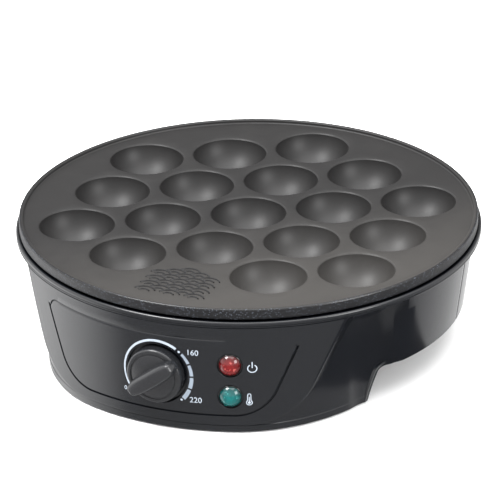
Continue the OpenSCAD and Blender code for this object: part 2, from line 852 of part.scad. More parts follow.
module cord_gland() {
    inner = core_r - wall;
    back = inner - gland_out;
    color([0.09, 0.09, 0.09]) placed() translate([0, 0, gland_z]) difference() {
        union() {
            along_y(gland_hole_r, back, rear_reach, FN_BORE);
            along_y(gland_hole_r + gland_rim, core_r, rear_reach, FN_BORE);
            along_y(gland_hole_r + gland_barb, back, inner - gland_play, FN_BORE);
        }
        along_y(cord_r, back - through, rear_reach + through, FN_BORE);
    }
}

// ---- Knob and thermostat ----

// Grip seen from the front: a bar with round ends that is fuller in its middle
module grip_outline() {
    reach = grip_bar_l / 2;
    end_r = grip_bar_w * BAR_END;
    bulge = (pow(reach, 2) + pow(grip_bar_w / 2, 2)) / grip_bar_w;
    intersection() {
        circle(r = reach);
        translate([0, bulge - grip_bar_w / 2]) circle(r = bulge + end_r / 2, $fn = FN_PLATE);
        translate([0, grip_bar_w / 2 - bulge]) circle(r = bulge + end_r / 2, $fn = FN_PLATE);
    }
}

module knob_turned() {
    translate([0, 0, knob_z]) rotate([0, knob_rest, 0]) children();
}

module control_knob() {
    color([0.15, 0.15, 0.16]) placed() knob_turned() difference() {
        union() {
            along_y(knob_r, knob_face + knob_chamfer, knob_back);
            translate([0, knob_face + knob_chamfer, 0]) rotate([90, 0, 0])
                cylinder(r1 = knob_r, r2 = knob_r - knob_chamfer, h = knob_chamfer);
            intersection() {
                translate([0, knob_face + bar_root, 0]) rotate([90, 0, 0])
                    linear_extrude(grip_bar_h + bar_root) grip_outline();
                translate([0, knob_front + knob_crown, 0])
                    cylinder(r = knob_crown, h = 3 * grip_bar_w, center = true, $fn = FN_PLATE);
            }
        }
        // shallow ring round the disc, open behind the grip
        difference() {
            along_y(ring_groove[0], knob_face - eps, knob_face + ring_groove[2]);
            along_y(ring_groove[1], knob_face - through, knob_face + through);
            translate([-knob_r, knob_face - through, -grip_bar_w / 2])
                cube([2 * knob_r, 2 * through, grip_bar_w]);
        }
        along_y(hub_r, hub_y, knob_back + through);
        intersection() {
            along_y(shaft_r, shaft_front, hub_y + through, FN_BORE);
            translate([-open, shaft_front - through, -open])
                cube([2 * open, open, open + flat_off]);
        }
    }
}

module thermostat_shaft() {
    color([0.72, 0.72, 0.70]) placed() knob_turned() intersection() {
        along_y(shaft_r, shaft_front, shaft_back, FN_BORE);
        union() {
            translate([-open, hub_y + through, -open]) cube(2 * open);
            translate([-open, shaft_front - through, -open])
                cube([2 * open, 2 * open, open + flat_off]);
        }
    }
}

module thermostat_body() {
    color([0.88, 0.86, 0.80]) placed() translate([0, 0, knob_z]) difference() {
        union() {
            along_y(collar_r, collar_y, body_y, FN_BORE);
            translate([-body_w / 2, body_y, -body_low])
                cube([body_w, body_plate, body_low + body_high]);
            translate([body_step - body_w / 2, body_y + body_plate, body_step - body_low])
                cube([body_w - 2 * body_step, body_l - body_plate,
                      body_low + body_high - body_step]);
        }
        along_y(shaft_r + shaft_clear, collar_y - through, body_y + body_plate, FN_BORE);
        along_y(shaft_r + body_bore, body_y + body_plate, shaft_back + through, FN_BORE);
    }
}

module shaft_nut() {
    color([0.75, 0.73, 0.62]) placed() translate([0, 0, knob_z]) difference() {
        along_y(nut_r, pocket_y - nut_t, pocket_y, HEXAGON);
        along_y(collar_r + fit, pocket_y - nut_t - through, pocket_y + through, FN_BORE);
    }
}

// Angle bracket: its upright is held by the collar, its foot by the reflector
module thermostat_bracket() {
    color([0.73, 0.73, 0.72]) placed() difference() {
        union() {
            translate([-bracket_w / 2, mount_y, knob_z - bracket_low])
                cube([bracket_w, bracket_t, reflector_z - knob_z + bracket_low]);
            translate([-bracket_w / 2, mount_y, bracket_top])
                cube([bracket_w, bracket_leg, bracket_t]);
        }
        translate([0, 0, knob_z])
            along_y(collar_r + strap_clear, mount_y - through, body_y + through, FN_BORE);
        for (x = BRACKET_X) translate([x, bracket_hole_y, 0]) small_hole(bracket_top, bracket_t);
    }
}

module bracket_screws() {
    color([0.78, 0.78, 0.76]) placed() for (x = BRACKET_X)
        translate([x, bracket_hole_y, 0])
            screw(small_screw_r, bracket_top, sheet_screw_top, small_head_r, small_head_h);
}

module bimetal_strip() {
    color([0.62, 0.55, 0.45]) placed()
        translate([-strip_w / 2, strip_y, strip_z - strip_t])
            cube([strip_w, strip_l, strip_t]);
}

module contact_blades() {
    color([0.78, 0.60, 0.30]) placed()
        for (s = [-1, 1]) translate([s > 0 ? blade_x : -blade_x - strip_t, blade_y, blade_z])
            cube([strip_t, blade_l, blade_h]);
}

// ---- Lamps ----

// A lens turned from its profile: hollow barrel, flange and dome
module lens(z) {
    ball = (pow(lens_r, 2) + pow(lens_dome, 2)) / (2 * lens_dome);
    half = asin(lens_r / ball);
    barrel = lens_seat - lens_back;
    placed() lamp_axis(z) translate([0, -lens_seat, 0]) rotate([90, 0, 0])
        rotate_extrude($fn = FN_LENS) polygon(concat(
            [[0, -lens_base], [bore_r, -lens_base], [bore_r, -barrel], [barrel_r, -barrel]],
            [[barrel_r, 0], [lens_r, 0]],
            arc([0, lens_base + lens_dome - ball], ball, 90 - half, 90, DOME_STEPS)));
}

module power_lamp_lens() {
    color([0.62, 0.05, 0.08]) lens(LAMPS[0]);
}

module ready_lamp_lens() {
    color([0.02, 0.45, 0.42]) lens(LAMPS[1]);
}

module lamp_clips() {
    back = panel_y + wall + fit_room;
    color([0.75, 0.75, 0.74]) placed() for (z = LAMPS) lamp_axis(z) difference() {
        along_y(barrel_r + clip_w, back, back + clip_t, FN_BORE);
        along_y(barrel_r + fit, back - through, back + clip_t + through, FN_LENS);
    }
}

module neon_bulbs() {
    color([0.95, 0.85, 0.75]) placed() for (z = LAMPS) lamp_axis(z) {
        along_y(bore_r - collar_clear, wall - lens_seat, -lens_back, FN_BORE);
        for (s = [-1, 1]) translate([s * lead_x, 0, 0])
            along_y(lead_r, -lens_back, lead_l - lens_back, FN_FINE);
    }
}

// ---- Protection and wiring ----

module thermal_fuse() {
    color([0.85, 0.80, 0.68]) placed() translate([fuse_x + fuse_off, fuse_y, fuse_z]) {
        along_y(fuse_r, -fuse_l / 2, fuse_l / 2, FN_SMALL);
        along_y(fuse_lead_r, -fuse_l / 2 - fuse_lead, fuse_l / 2 + fuse_lead, FN_FINE);
    }
}

// A small saddle over the fuse, screwed to the reflector beside it
module fuse_clip() {
    saddle_r = fuse_r + clip_sheet;
    color([0.74, 0.74, 0.73]) placed() translate([fuse_x, fuse_y, 0]) difference() {
        union() {
            translate([-clip_side, -clip_half, reflector_z - clip_sheet])
                cube([2 * clip_side, 2 * clip_half, clip_sheet]);
            translate([fuse_off, 0, fuse_z]) along_y(saddle_r, -clip_half, clip_half, FN_SMALL);
            translate([fuse_off - saddle_r, -clip_half, fuse_z])
                cube([clip_sheet, 2 * clip_half, saddle_r]);
        }
        translate([fuse_off, 0, fuse_z])
            along_y(fuse_r + 2 * eps, -clip_half - through, clip_half + through, FN_SMALL);
        small_hole(reflector_z - clip_sheet, clip_sheet);
    }
}

module terminal_block() {
    color([0.92, 0.91, 0.86]) placed() translate([0, block_y, cover_top]) difference() {
        translate([-BLOCK[0] / 2, -BLOCK[1] / 2, 0]) cube(BLOCK);
        for (i = [-1:1]) translate([i * block_step, 0, 0]) {
            translate([0, 0, block_bore_z]) along_y(block_bore_r, -BLOCK[1], BLOCK[1], FN_SMALL);
            translate([0, 0, block_well_z]) cylinder(r = block_well_r, h = BLOCK[2],
                                                     $fn = FN_SMALL);
        }
    }
}

module earth_tab() {
    color([0.80, 0.66, 0.34]) placed() translate([fuse_x, fuse_y, 0]) {
        difference() {
            translate([0, 0, tab_z]) union() {
                cylinder(r = tab_r, h = tab_t, $fn = FN_BORE);
                translate([-TAB[0], -TAB[1] / 2, 0]) cube([TAB[0], TAB[1], tab_t]);
            }
            small_hole(tab_z, tab_t);
        }
        screw(small_screw_r, tab_z, sheet_screw_top, tab_head_r, small_head_h);
    }
}

// A lead as straight runs that end inside round joints
module lead(points) {
    for (i = [0:len(points) - 2]) run(points[i], points[i + 1]);
    for (p = points) translate(p) rotate(JOINT_TURN) sphere(r = joint_r, $fn = FN_FINE);
}

module run(p, q) {
    d = q - p;
    l = norm(d);
    translate(p) rotate([0, acos(d[2] / l), atan2(d[1], d[0])])
        translate([0, 0, joint_gap]) cylinder(r = wire_r, h = l - 2 * joint_gap, $fn = FN_FINE);
}

module inner_wiring() {
    color([0.70, 0.68, 0.62]) placed() for (w = WIRES) lead(w);
}

cooking_plate();
heating_element();
heater_clamps();
clamp_screws();
heater_bushings();
heat_reflector();
plate_spacers();
plate_screws();
housing();
bottom_cover();
cover_screws();
rubber_feet();
cord_gland();
control_knob();
thermostat_shaft();
thermostat_body();
thermostat_bracket();
bracket_screws();
shaft_nut();
bimetal_strip();
contact_blades();
power_lamp_lens();
ready_lamp_lens();
lamp_clips();
neon_bulbs();
thermal_fuse();
fuse_clip();
terminal_block();
earth_tab();
inner_wiring();
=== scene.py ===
"""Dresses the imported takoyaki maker: skins, knob, lamps, dial print and finishes.

Shapes are worked out in millimetres in the axis frame, whose origin is on the table under
the middle of the cooking plate, and are moved into the shared frame as each piece is made.
Angles round the body are measured from the front, positive towards +X.
"""

import logging
import math
from dataclasses import dataclass, field
from enum import Enum
from typing import Any, Callable, Sequence

import bmesh
import bpy
import numpy as np
from mathutils import Matrix, Vector
from mathutils.geometry import delaunay_2d_cdt

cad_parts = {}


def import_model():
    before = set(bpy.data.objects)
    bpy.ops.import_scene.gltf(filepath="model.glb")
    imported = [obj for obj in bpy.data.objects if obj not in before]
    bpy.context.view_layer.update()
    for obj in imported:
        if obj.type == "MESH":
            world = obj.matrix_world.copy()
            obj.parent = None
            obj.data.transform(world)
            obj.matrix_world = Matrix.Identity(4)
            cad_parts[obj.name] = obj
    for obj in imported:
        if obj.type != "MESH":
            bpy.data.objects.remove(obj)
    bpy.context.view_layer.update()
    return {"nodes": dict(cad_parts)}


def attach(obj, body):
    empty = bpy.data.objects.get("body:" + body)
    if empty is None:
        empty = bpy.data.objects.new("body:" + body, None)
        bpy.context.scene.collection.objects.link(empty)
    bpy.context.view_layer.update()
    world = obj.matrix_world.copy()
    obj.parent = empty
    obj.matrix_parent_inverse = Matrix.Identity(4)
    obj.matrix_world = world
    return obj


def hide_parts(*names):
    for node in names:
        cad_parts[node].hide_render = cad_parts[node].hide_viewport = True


LOG = logging.getLogger("takoyaki_maker")
MM = 0.001
AXIS_Y = 5.0
MERGE = 2e-6


class Body(Enum):
    """The bodies that pieces ride on."""

    BASE = "base"
    KNOB = "knob"


class Slot(Enum):
    """Material slots of the record; the lamps are handed one, but no piece takes its finish from
    it.
    """

    PLATE = "cast_plate"
    HOUSING = "housing_plastic"
    KNOB = "knob_plastic"
    RED = "red_lens"
    TEAL = "teal_lens"


# ---- Arithmetic on curves and surfaces ----


def ease(t: Any) -> Any:
    """Returns the smooth step of t from 0 to 1."""
    t = np.clip(t, 0.0, 1.0)
    return t * t * (3 - 2 * t)


def soft_min(a: Any, b: Any, k: Any) -> Any:
    """Returns the lesser of two values, blended where they differ by less than k."""
    h = np.maximum(k - np.abs(a - b), 0.0) / k
    return np.minimum(a, b) - h * h * k / 4


def soft_max(a: Any, b: Any, k: float) -> Any:
    """Returns the greater of two values, blended where they differ by less than k."""
    return -soft_min(-np.asarray(a), -np.asarray(b), k)


def round_corner(
    centre: tuple[float, float], r: float, start: float, end: float, steps: int
) -> list[tuple[float, float]]:
    """Makes the points of an arc.

    Args:
        centre: middle of the arc.
        r: its radius.
        start: first angle in degrees.
        end: last angle in degrees.
        steps: number of parts of the arc.

    Returns:
        steps + 1 points.
    """
    turns = [math.radians(start + (end - start) * i / steps) for i in range(steps + 1)]
    return [(centre[0] + r * math.cos(t), centre[1] + r * math.sin(t)) for t in turns]


# ---- Forms: points and faces before they become a piece ----


@dataclass
class Form:
    """Points in millimetres and the faces between them."""

    points: list[tuple[float, float, float]] = field(default_factory=list)
    faces: list[tuple[int, ...]] = field(default_factory=list)

    def add(self, points: Any, faces: Sequence[Sequence[int]]) -> None:
        """Adds points and faces whose numbers count from those points."""
        start = len(self.points)
        self.points.extend(tuple(map(float, p)) for p in points)
        self.faces.extend(tuple(start + i for i in f) for f in faces)

    def join(self, other: "Form") -> "Form":
        """Adds another form and returns this one."""
        self.add(other.points, other.faces)
        return self

    def grid(self, rows: Any, wrap_rows: bool = False, wrap_columns: bool = False) -> None:
        """Adds quads over rows of points.

        Args:
            rows: array of shape (rows, columns, 3).
            wrap_rows: joins the last row to the first.
            wrap_columns: joins the last column to the first.
        """
        rows = np.asarray(rows, float)
        n, m = rows.shape[:2]
        faces = []
        for i in range(n if wrap_rows else n - 1):
            low, high = i * m, (i + 1) % n * m
            for j in range(m if wrap_columns else m - 1):
                k = (j + 1) % m
                faces.append((low + j, low + k, high + k, high + j))
        self.add(rows.reshape(-1, 3), faces)

    def turned(self, profile: Sequence[tuple[float, float]], steps: int, closed: bool) -> None:
        """Adds a profile of (radius, height) points turned round the Z axis.

        Args:
            profile: points of the profile.
            steps: number of parts of the turn.
            closed: joins the profile's last point to its first.
        """
        a = np.arange(steps) * 2 * math.pi / steps
        rows = [
            np.stack([r * np.sin(a), -r * np.cos(a), np.full(steps, h)], axis=1)
            for r, h in profile
        ]
        self.grid(rows, wrap_rows=closed, wrap_columns=True)

    def moved(self, place: Callable[[np.ndarray], np.ndarray]) -> "Form":
        """Returns a copy whose points are changed by a function of their array."""
        return Form(list(map(tuple, place(np.array(self.points, float)))), list(self.faces))


def filled(
    loops: Sequence[np.ndarray], inner: np.ndarray, keep: Callable[[float, float], bool]
) -> tuple[np.ndarray, list[tuple[int, ...]]]:
    """Fills the flat area between closed loops with triangles.

    Args:
        loops: closed loops of (x, y) points.
        inner: further points inside the area, shape (n, 2).
        keep: says whether a triangle with this centre belongs to the area.

    Returns:
        The points used and the triangles between them.
    """
    points, edges = [], []
    for loop in loops:
        start, n = len(points), len(loop)
        points.extend(Vector((float(p[0]), float(p[1]))) for p in loop)
        edges.extend((start + i, start + (i + 1) % n) for i in range(n))
    points.extend(Vector((float(p[0]), float(p[1]))) for p in inner)
    made, _, faces, *_ = delaunay_2d_cdt(points, edges, [], 0, 1e-5)
    xy = np.array([(p.x, p.y) for p in made])
    kept = [tuple(f) for f in faces if keep(*xy[list(f)].mean(axis=0))]
    return xy, kept


def spaced(
    box: tuple[float, float, float, float], step: float, keep: Callable[[float, float], bool]
) -> np.ndarray:
    """Makes staggered points inside an area.

    Args:
        box: lowest x, lowest y, highest x and highest y.
        step: distance between points.
        keep: says whether a point is wanted.

    Returns:
        Array of shape (n, 2).
    """
    points, row, y = [], 0, box[1]
    while y <= box[3]:
        x = box[0] + (row % 2) * step / 2
        while x <= box[2]:
            if keep(x, y):
                points.append((x, y))
            x += step
        y += step * math.sqrt(3) / 2
        row += 1
    return np.array(points).reshape(-1, 2)


# ---- Shader arithmetic and finishes ----


class Wire:
    """A node's output socket that takes part in Python arithmetic."""

    def __init__(self, network: "Network", socket: Any) -> None:
        """Keeps the network and the socket."""
        self.network = network
        self.socket = socket

    def _math(self, operation: str, a: Any, b: Any) -> "Wire":
        """Returns the result of a Math node."""
        node = self.network.node("ShaderNodeMath", {"operation": operation}, {0: a, 1: b})
        return Wire(self.network, node.outputs[0])

    def __add__(self, other: Any) -> "Wire":
        """Returns the sum."""
        return self._math("ADD", self, other)

    def __radd__(self, other: Any) -> "Wire":
        """Returns the sum."""
        return self._math("ADD", other, self)

    def __sub__(self, other: Any) -> "Wire":
        """Returns the difference."""
        return self._math("SUBTRACT", self, other)

    def __rsub__(self, other: Any) -> "Wire":
        """Returns the difference, from the other side."""
        return self._math("SUBTRACT", other, self)

    def __mul__(self, other: Any) -> "Wire":
        """Returns the product."""
        return self._math("MULTIPLY", self, other)

    def __rmul__(self, other: Any) -> "Wire":
        """Returns the product."""
        return self._math("MULTIPLY", other, self)

    def __pow__(self, other: Any) -> "Wire":
        """Returns the power."""
        return self._math("POWER", self, other)

    def limited(self) -> "Wire":
        """Returns the value kept between 0 and 1."""
        return self._math("MINIMUM", self._math("MAXIMUM", self, 0.0), 1.0)


class Network:
    """A node tree, whose nodes all come from one method."""

    def __init__(self, tree: Any) -> None:
        """Empties the tree."""
        self.tree = tree
        self.tree.nodes.clear()

    def node(self, kind: str, settings: dict[str, Any], values: dict[Any, Any]) -> Any:
        """Makes a node.

        Args:
            kind: type of the node.
            settings: properties, which are set first.
            values: numbers, colours or Wires for its inputs, by name or number.

        Returns:
            The node.
        """
        node = self.tree.nodes.new(kind)
        for key, value in settings.items():
            setattr(node, key, value)
        for key, value in values.items():
            self.put(node.inputs[key], value)
        return node

    def put(self, socket: Any, value: Any) -> None:
        """Sets a socket's value, or links a Wire to it."""
        if isinstance(value, Wire):
            self.tree.links.new(value.socket, socket)
        else:
            socket.default_value = value

    def split(self, vector: Any) -> tuple[Wire, Wire, Wire]:
        """Returns a vector's three numbers."""
        node = self.node("ShaderNodeSeparateXYZ", {}, {0: vector})
        return tuple(Wire(self, out) for out in node.outputs)


class Shader(Network):
    """A material's node tree, with one Principled surface."""

    def __init__(self, name: str) -> None:
        """Makes an empty material with a Principled surface."""
        self.material = bpy.data.materials.new(name)
        self.material.use_nodes = True
        super().__init__(self.material.node_tree)
        self.surface = self.node("ShaderNodeBsdfPrincipled", {}, {})
        output = self.node("ShaderNodeOutputMaterial", {}, {})
        self.tree.links.new(self.surface.outputs[0], output.inputs[0])

    def set(self, **values: Any) -> None:
        """Sets sockets of the surface; an underscore in a name stands for a space."""
        for key, value in values.items():
            self.put(self.surface.inputs[key.replace("_", " ")], value)

    def place(self) -> Wire:
        """Returns the Object coordinates."""
        node = self.node("ShaderNodeTexCoord", {}, {})
        return Wire(self, node.outputs["Object"])

    def noise(self, size_mm: float, detail: float = 2.0, rough: float = 0.5) -> Wire:
        """Returns noise from 0 to 1 whose blots are about size_mm wide."""
        values = {"Vector": self.place(), "Scale": 1.0 / (size_mm * MM)}
        values |= {"Detail": detail, "Roughness": rough}
        return Wire(self, self.node("ShaderNodeTexNoise", {}, values).outputs[0])

    def specks(self, size_mm: float) -> Wire:
        """Returns the distance to the nearest of scattered points, in cells."""
        values = {"Vector": self.place(), "Scale": 1.0 / (size_mm * MM)}
        return Wire(self, self.node("ShaderNodeTexVoronoi", {}, values).outputs["Distance"])

    def mix(self, share: Any, a: Any, b: Any) -> Wire:
        """Returns a colour between a and b."""
        node = self.node("ShaderNodeMix", {"data_type": "RGBA"}, {0: share, 6: a, 7: b})
        return Wire(self, node.outputs[2])

    def bump(self, height: Wire, depth_mm: float) -> Wire:
        """Returns a normal for a height from 0 to 1 that stands depth_mm tall."""
        values = {"Height": height, "Distance": depth_mm * MM, "Strength": 1.0}
        return Wire(self, self.node("ShaderNodeBump", {}, values).outputs[0])


def shade(colour: Sequence[float], share: float) -> tuple[float, float, float, float]:
    """Returns a colour made lighter or darker by a share of itself."""
    return (*(min(1.0, c * share) for c in colour), 1.0)


@dataclass(frozen=True)
class Finish:
    """An even finish with the slight variation that a real surface has.

    Attributes:
        name: name of the material.
        colour: linear colour.
        roughness: middle roughness.
        metallic: share of metal.
        coat: weight of a clear coat.
        coat_roughness: roughness of that coat.
        uneven: how far the colour strays, as a share.
        patch_mm: size of the patches that it strays in.
        grain_mm: size of the surface's grain.
        grain_depth_mm: depth of that grain.
    """

    name: str
    colour: tuple[float, float, float]
    roughness: float
    metallic: float = 0.0
    coat: float = 0.0
    coat_roughness: float = 0.1
    uneven: float = 0.08
    patch_mm: float = 25.0
    grain_mm: float = 0.6
    grain_depth_mm: float = 0.004

    def make(self) -> Any:
        """Returns the material."""
        shader = Shader(self.name)
        patches = shader.noise(self.patch_mm)
        grain = shader.noise(self.grain_mm, 3.0)
        shader.set(
            Base_Color=shader.mix(
                patches, shade(self.colour, 1 - self.uneven), shade(self.colour, 1 + self.uneven)
            ),
            Roughness=(self.roughness + 0.08 * (patches - 0.5) + 0.05 * (grain - 0.5)).limited(),
            Metallic=self.metallic,
            Coat_Weight=self.coat,
            Coat_Roughness=self.coat_roughness,
            Normal=shader.bump(grain, self.grain_depth_mm),
        )
        return shader.material


@dataclass(frozen=True)
class CastCoating:
    """Dark coating of the cooking plate, smooth on top and pebbled on the skirt.

    Attributes:
        name: name of the material.
        top: colour of the top at the back, the coating's own dark colour.
        front: colour of the top at the front right, painted lighter as a painted sheen.
        sheen_reach_mm: distance over which the one becomes the other.
        shaded_ridge_z_mm: height above which the raised pattern is painted as dark as the skirt,
            as painted shade.
        shaded_ridge_r_mm: distance from the plate's axis at which that ends.
        side: colour of the skirt, also used as the painted shade of the raised pattern.
        fleck: colour of its flecks.
        skirt_r_mm: distance from the plate's axis at which the skirt starts.
        edge_z_mm: height above which the skirt's edge is worn smooth.
        fleck_mm: spacing of the flecks.
        pebble_mm: size of the skirt's grain.
        pebble_depth_mm: depth of that grain.
        roughness: middle roughness.
        ior: index of refraction.
    """

    name: str = "cast_coating"
    top: tuple[float, float, float] = (0.0085, 0.0080, 0.0080)
    front: tuple[float, float, float] = (0.030, 0.028, 0.026)
    sheen_reach_mm: float = 140.0
    shaded_ridge_z_mm: float = 75.28
    shaded_ridge_r_mm: float = 128.0
    side: tuple[float, float, float] = (0.004, 0.004, 0.005)
    fleck: tuple[float, float, float] = (0.07, 0.08, 0.10)
    skirt_r_mm: float = 134.6
    edge_z_mm: float = 76.6
    fleck_mm: float = 1.3
    pebble_mm: float = 0.9
    pebble_depth_mm: float = 0.20
    roughness: float = 0.46
    ior: float = 1.40

    def make(self) -> Any:
        """Returns the material."""
        shader = Shader(self.name)
        x, y, z = shader.split(shader.place())
        from_axis = (x * x + (y - AXIS_Y * MM) * (y - AXIS_Y * MM)) ** 0.5
        on_side = ((from_axis - self.skirt_r_mm * MM) * (1 / (0.6 * MM))).limited()
        worn = ((z - self.edge_z_mm * MM) * (1 / (0.3 * MM))).limited() * on_side
        patches, grain = shader.noise(14.0, 4.0, 0.6), shader.noise(0.55, 3.0)
        pebbles = shader.noise(self.pebble_mm, 2.0)
        flecks = (1 - shader.specks(self.fleck_mm) * 3.0).limited() * on_side
        # painted sheen: the top's colour goes from its own dark colour at the back to a lighter
        # one at the front right, standing in for the reflection there
        front_sheen = ((x * 0.8 - y) * (1 / (self.sheen_reach_mm * MM)) + 0.05).limited()
        # painted shade: the raised pattern is painted as dark as the skirt and loses the painted
        # sheen, standing in for the shadows along its lines
        raised = ((z - self.shaded_ridge_z_mm * MM) * (1 / (0.15 * MM))).limited()
        raised = raised * ((self.shaded_ridge_r_mm * MM - from_axis) * (1 / (1.0 * MM))).limited()
        share = (front_sheen + 0.35 * (patches - 0.5) - raised).limited()
        upper = shader.mix(share, (*self.top, 1.0), (*self.front, 1.0))
        upper = shader.mix(raised, upper, (*self.side, 1.0))
        lower = shader.mix(flecks, (*self.side, 1.0), (*self.fleck, 1.0))
        height = grain * 0.06 * (1 - on_side) + pebbles * on_side
        rough = self.roughness + 0.10 * (patches - 0.5) - 0.04 * on_side - 0.2 * worn
        shader.set(
            Base_Color=shader.mix(on_side, upper, lower),
            Roughness=rough.limited(),
            Normal=shader.bump(height * (1 - 0.8 * worn), self.pebble_depth_mm),
            IOR=self.ior,
        )
        return shader.material


@dataclass(frozen=True)
class LampPlastic:
    """Clear coloured plastic of a lamp lens, with a painted glow, painted glints and painted
    shade.

    Attributes:
        name: name of the material.
        deep: colour near the rim, the lens colour painted darker as painted shade.
        clear: colour at the middle, the lens colour painted brighter as a painted glow.
        clear: colour at the middle.
        glint: colour of the painted glints that glow in the middle, standing in for light caught
            by the lens.
        centre: middle of the lens in metres.
        seat_shade_mm: distance from the middle at which the near-black painted shade of the seat's
            gap starts.
        reach_mm: distance over which the painted glow goes.
        glint_mm: distance from the middle at which the last painted glint shows.
    """

    name: str
    deep: tuple[float, float, float]
    clear: tuple[float, float, float]
    glint: tuple[float, float, float]
    centre: tuple[float, float, float]
    seat_shade_mm: float = 6.42
    reach_mm: float = 5.2
    glint_mm: float = 5.0

    def make(self) -> Any:
        """Returns the material."""
        shader = Shader(self.name)
        gap = shader.node(
            "ShaderNodeVectorMath",
            {"operation": "DISTANCE"},
            {0: shader.place(), 1: self.centre},
        )
        away = Wire(shader, gap.outputs["Value"])
        # painted shade: a near-black ring where the lens meets its seat, standing in for the
        # shadow in that gap
        rim = ((away - self.seat_shade_mm * MM) * (1 / (0.15 * MM))).limited()
        star = shader.noise(2.4, 1.0)
        # painted glow and shade: the lens is painted clear in the middle and deep towards its edge
        share = (1.32 - away * (1 / (self.reach_mm * MM)) + 0.6 * (star - 0.5)).limited()
        lit = shader.mix(share, (*self.deep, 1.0), (*self.clear, 1.0))
        # painted glints: emission on noise spots near the middle, standing in for light caught in
        # the lens
        near = (1 - away * (1 / (self.glint_mm * MM))) * 3.0
        glint_spots = ((star - 0.60) * 9.0).limited() * near.limited()
        shader.set(
            Base_Color=shader.mix(rim, lit, (0.004, 0.004, 0.004, 1.0)),
            Roughness=0.06 + 0.10 * rim,
            Emission_Color=shader.mix(glint_spots, (0, 0, 0, 1), (*self.glint, 1.0)),
            Emission_Strength=0.5,
        )
        return shader.material


HOUSING_PLASTIC = Finish("housing_plastic", (0.0036, 0.0042, 0.0058), 0.20, uneven=0.05)
KNOB_PLASTIC = Finish("knob_plastic", (0.010, 0.0105, 0.012), 0.25, uneven=0.05, patch_mm=9.0)
PRINT_PALE = Finish("dial_print_pale", (0.31, 0.35, 0.40), 0.45, uneven=0.04, patch_mm=6.0)
PRINT_BLUE = Finish("dial_print_blue", (0.19, 0.225, 0.27), 0.45, uneven=0.05, patch_mm=6.0)
CARRIED = {
    "heating_element": Finish("heater_sheath", (0.10, 0.085, 0.075), 0.42, 0.9, uneven=0.25),
    "heater_clamps": Finish("steel_strap", (0.52, 0.52, 0.51), 0.33, 1.0, grain_mm=0.4),
    "clamp_screws": Finish("plated_steel_small", (0.62, 0.62, 0.60), 0.26, 1.0, grain_mm=0.3),
    "heater_bushings": Finish("ceramic", (0.82, 0.79, 0.72), 0.55, uneven=0.05),
    "heat_reflector": Finish("reflector_sheet", (0.62, 0.62, 0.60), 0.24, 1.0, patch_mm=40.0),
    "plate_spacers": Finish("spacer_steel", (0.60, 0.60, 0.59), 0.30, 1.0, grain_mm=0.3),
    "plate_screws": Finish("plated_steel", (0.62, 0.61, 0.58), 0.26, 1.0, grain_mm=0.3),
    "bottom_cover": Finish("cover_plastic", (0.016, 0.016, 0.017), 0.55, grain_depth_mm=0.03),
    "cover_screws": Finish("cover_screw_steel", (0.30, 0.30, 0.30), 0.34, 1.0, grain_mm=0.3),
    "rubber_feet": Finish("foot_rubber", (0.020, 0.020, 0.020), 0.78, grain_depth_mm=0.02),
    "cord_gland": Finish("gland_rubber", (0.018, 0.018, 0.018), 0.66, grain_depth_mm=0.02),
    "thermostat_shaft": Finish("shaft_steel", (0.58, 0.58, 0.56), 0.28, 1.0, grain_mm=0.3),
    "thermostat_body": Finish("moulded_white", (0.76, 0.73, 0.66), 0.50, uneven=0.06),
    "thermostat_bracket": Finish("bracket_steel", (0.58, 0.58, 0.57), 0.32, 1.0),
    "bracket_screws": Finish("bracket_screw_steel", (0.62, 0.62, 0.60), 0.26, 1.0),
    "shaft_nut": Finish("nut_steel", (0.60, 0.58, 0.50), 0.30, 1.0, grain_mm=0.3),
    "bimetal_strip": Finish("bimetal", (0.48, 0.38, 0.26), 0.35, 0.9, uneven=0.2),
    "contact_blades": Finish("spring_brass", (0.68, 0.46, 0.18), 0.30, 1.0),
    "lamp_clips": Finish("clip_steel", (0.60, 0.60, 0.58), 0.30, 1.0),
    "neon_bulbs": Finish("glass_bulb", (0.85, 0.68, 0.52), 0.10, coat=0.6, coat_roughness=0.02),
    "thermal_fuse": Finish("fuse_case", (0.70, 0.62, 0.42), 0.38, 0.6),
    "fuse_clip": Finish("fuse_clip_steel", (0.58, 0.58, 0.57), 0.32, 1.0),
    "terminal_block": Finish("terminal_moulding", (0.80, 0.78, 0.70), 0.48, uneven=0.05),
    "earth_tab": Finish("tinned_brass", (0.66, 0.52, 0.24), 0.30, 1.0),
    "inner_wiring": Finish("wire_sleeve", (0.58, 0.55, 0.48), 0.62, uneven=0.12, patch_mm=6.0),
}


# ---- Making pieces ----


def make_piece(
    name: str,
    form: Form,
    material: Any,
    body: Body,
    stands_for: Sequence[str] = (),
    sharp_degrees: float = 32.0,
) -> Any:
    """Makes a finished piece in the shared frame and hands it to its body.

    Args:
        name: name of the piece.
        form: its points and faces, in the axis frame.
        material: its material.
        body: the body it rides on.
        stands_for: CAD nodes that it replaces.
        sharp_degrees: edges that turn more than this are kept sharp.

    Returns:
        The object.
    """
    points = (np.array(form.points, float) + (0, AXIS_Y, 0)) * MM
    mesh = bpy.data.meshes.new(name)
    mesh.from_pydata(points.tolist(), [], form.faces)
    work = bmesh.new()
    work.from_mesh(mesh)
    bmesh.ops.remove_doubles(work, verts=work.verts, dist=MERGE)
    bmesh.ops.dissolve_degenerate(work, edges=work.edges, dist=MERGE / 2)
    bmesh.ops.recalc_face_normals(work, faces=work.faces)
    open_edges = sum(1 for e in work.edges if len(e.link_faces) != 2)
    work.to_mesh(mesh)
    work.free()
    mesh.polygons.foreach_set("use_smooth", [True] * len(mesh.polygons))
    mesh.set_sharp_from_angle(angle=math.radians(sharp_degrees))
    mesh.materials.append(material)
    obj = bpy.data.objects.new(name, mesh)
    bpy.context.scene.collection.objects.link(obj)
    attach(obj, body.value)
    if stands_for:
        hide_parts(*stands_for)
    triangles = sum(len(p.vertices) - 2 for p in mesh.polygons)
    LOG.info("%s: %d triangles, %d open edges", name, triangles, open_edges)
    return obj


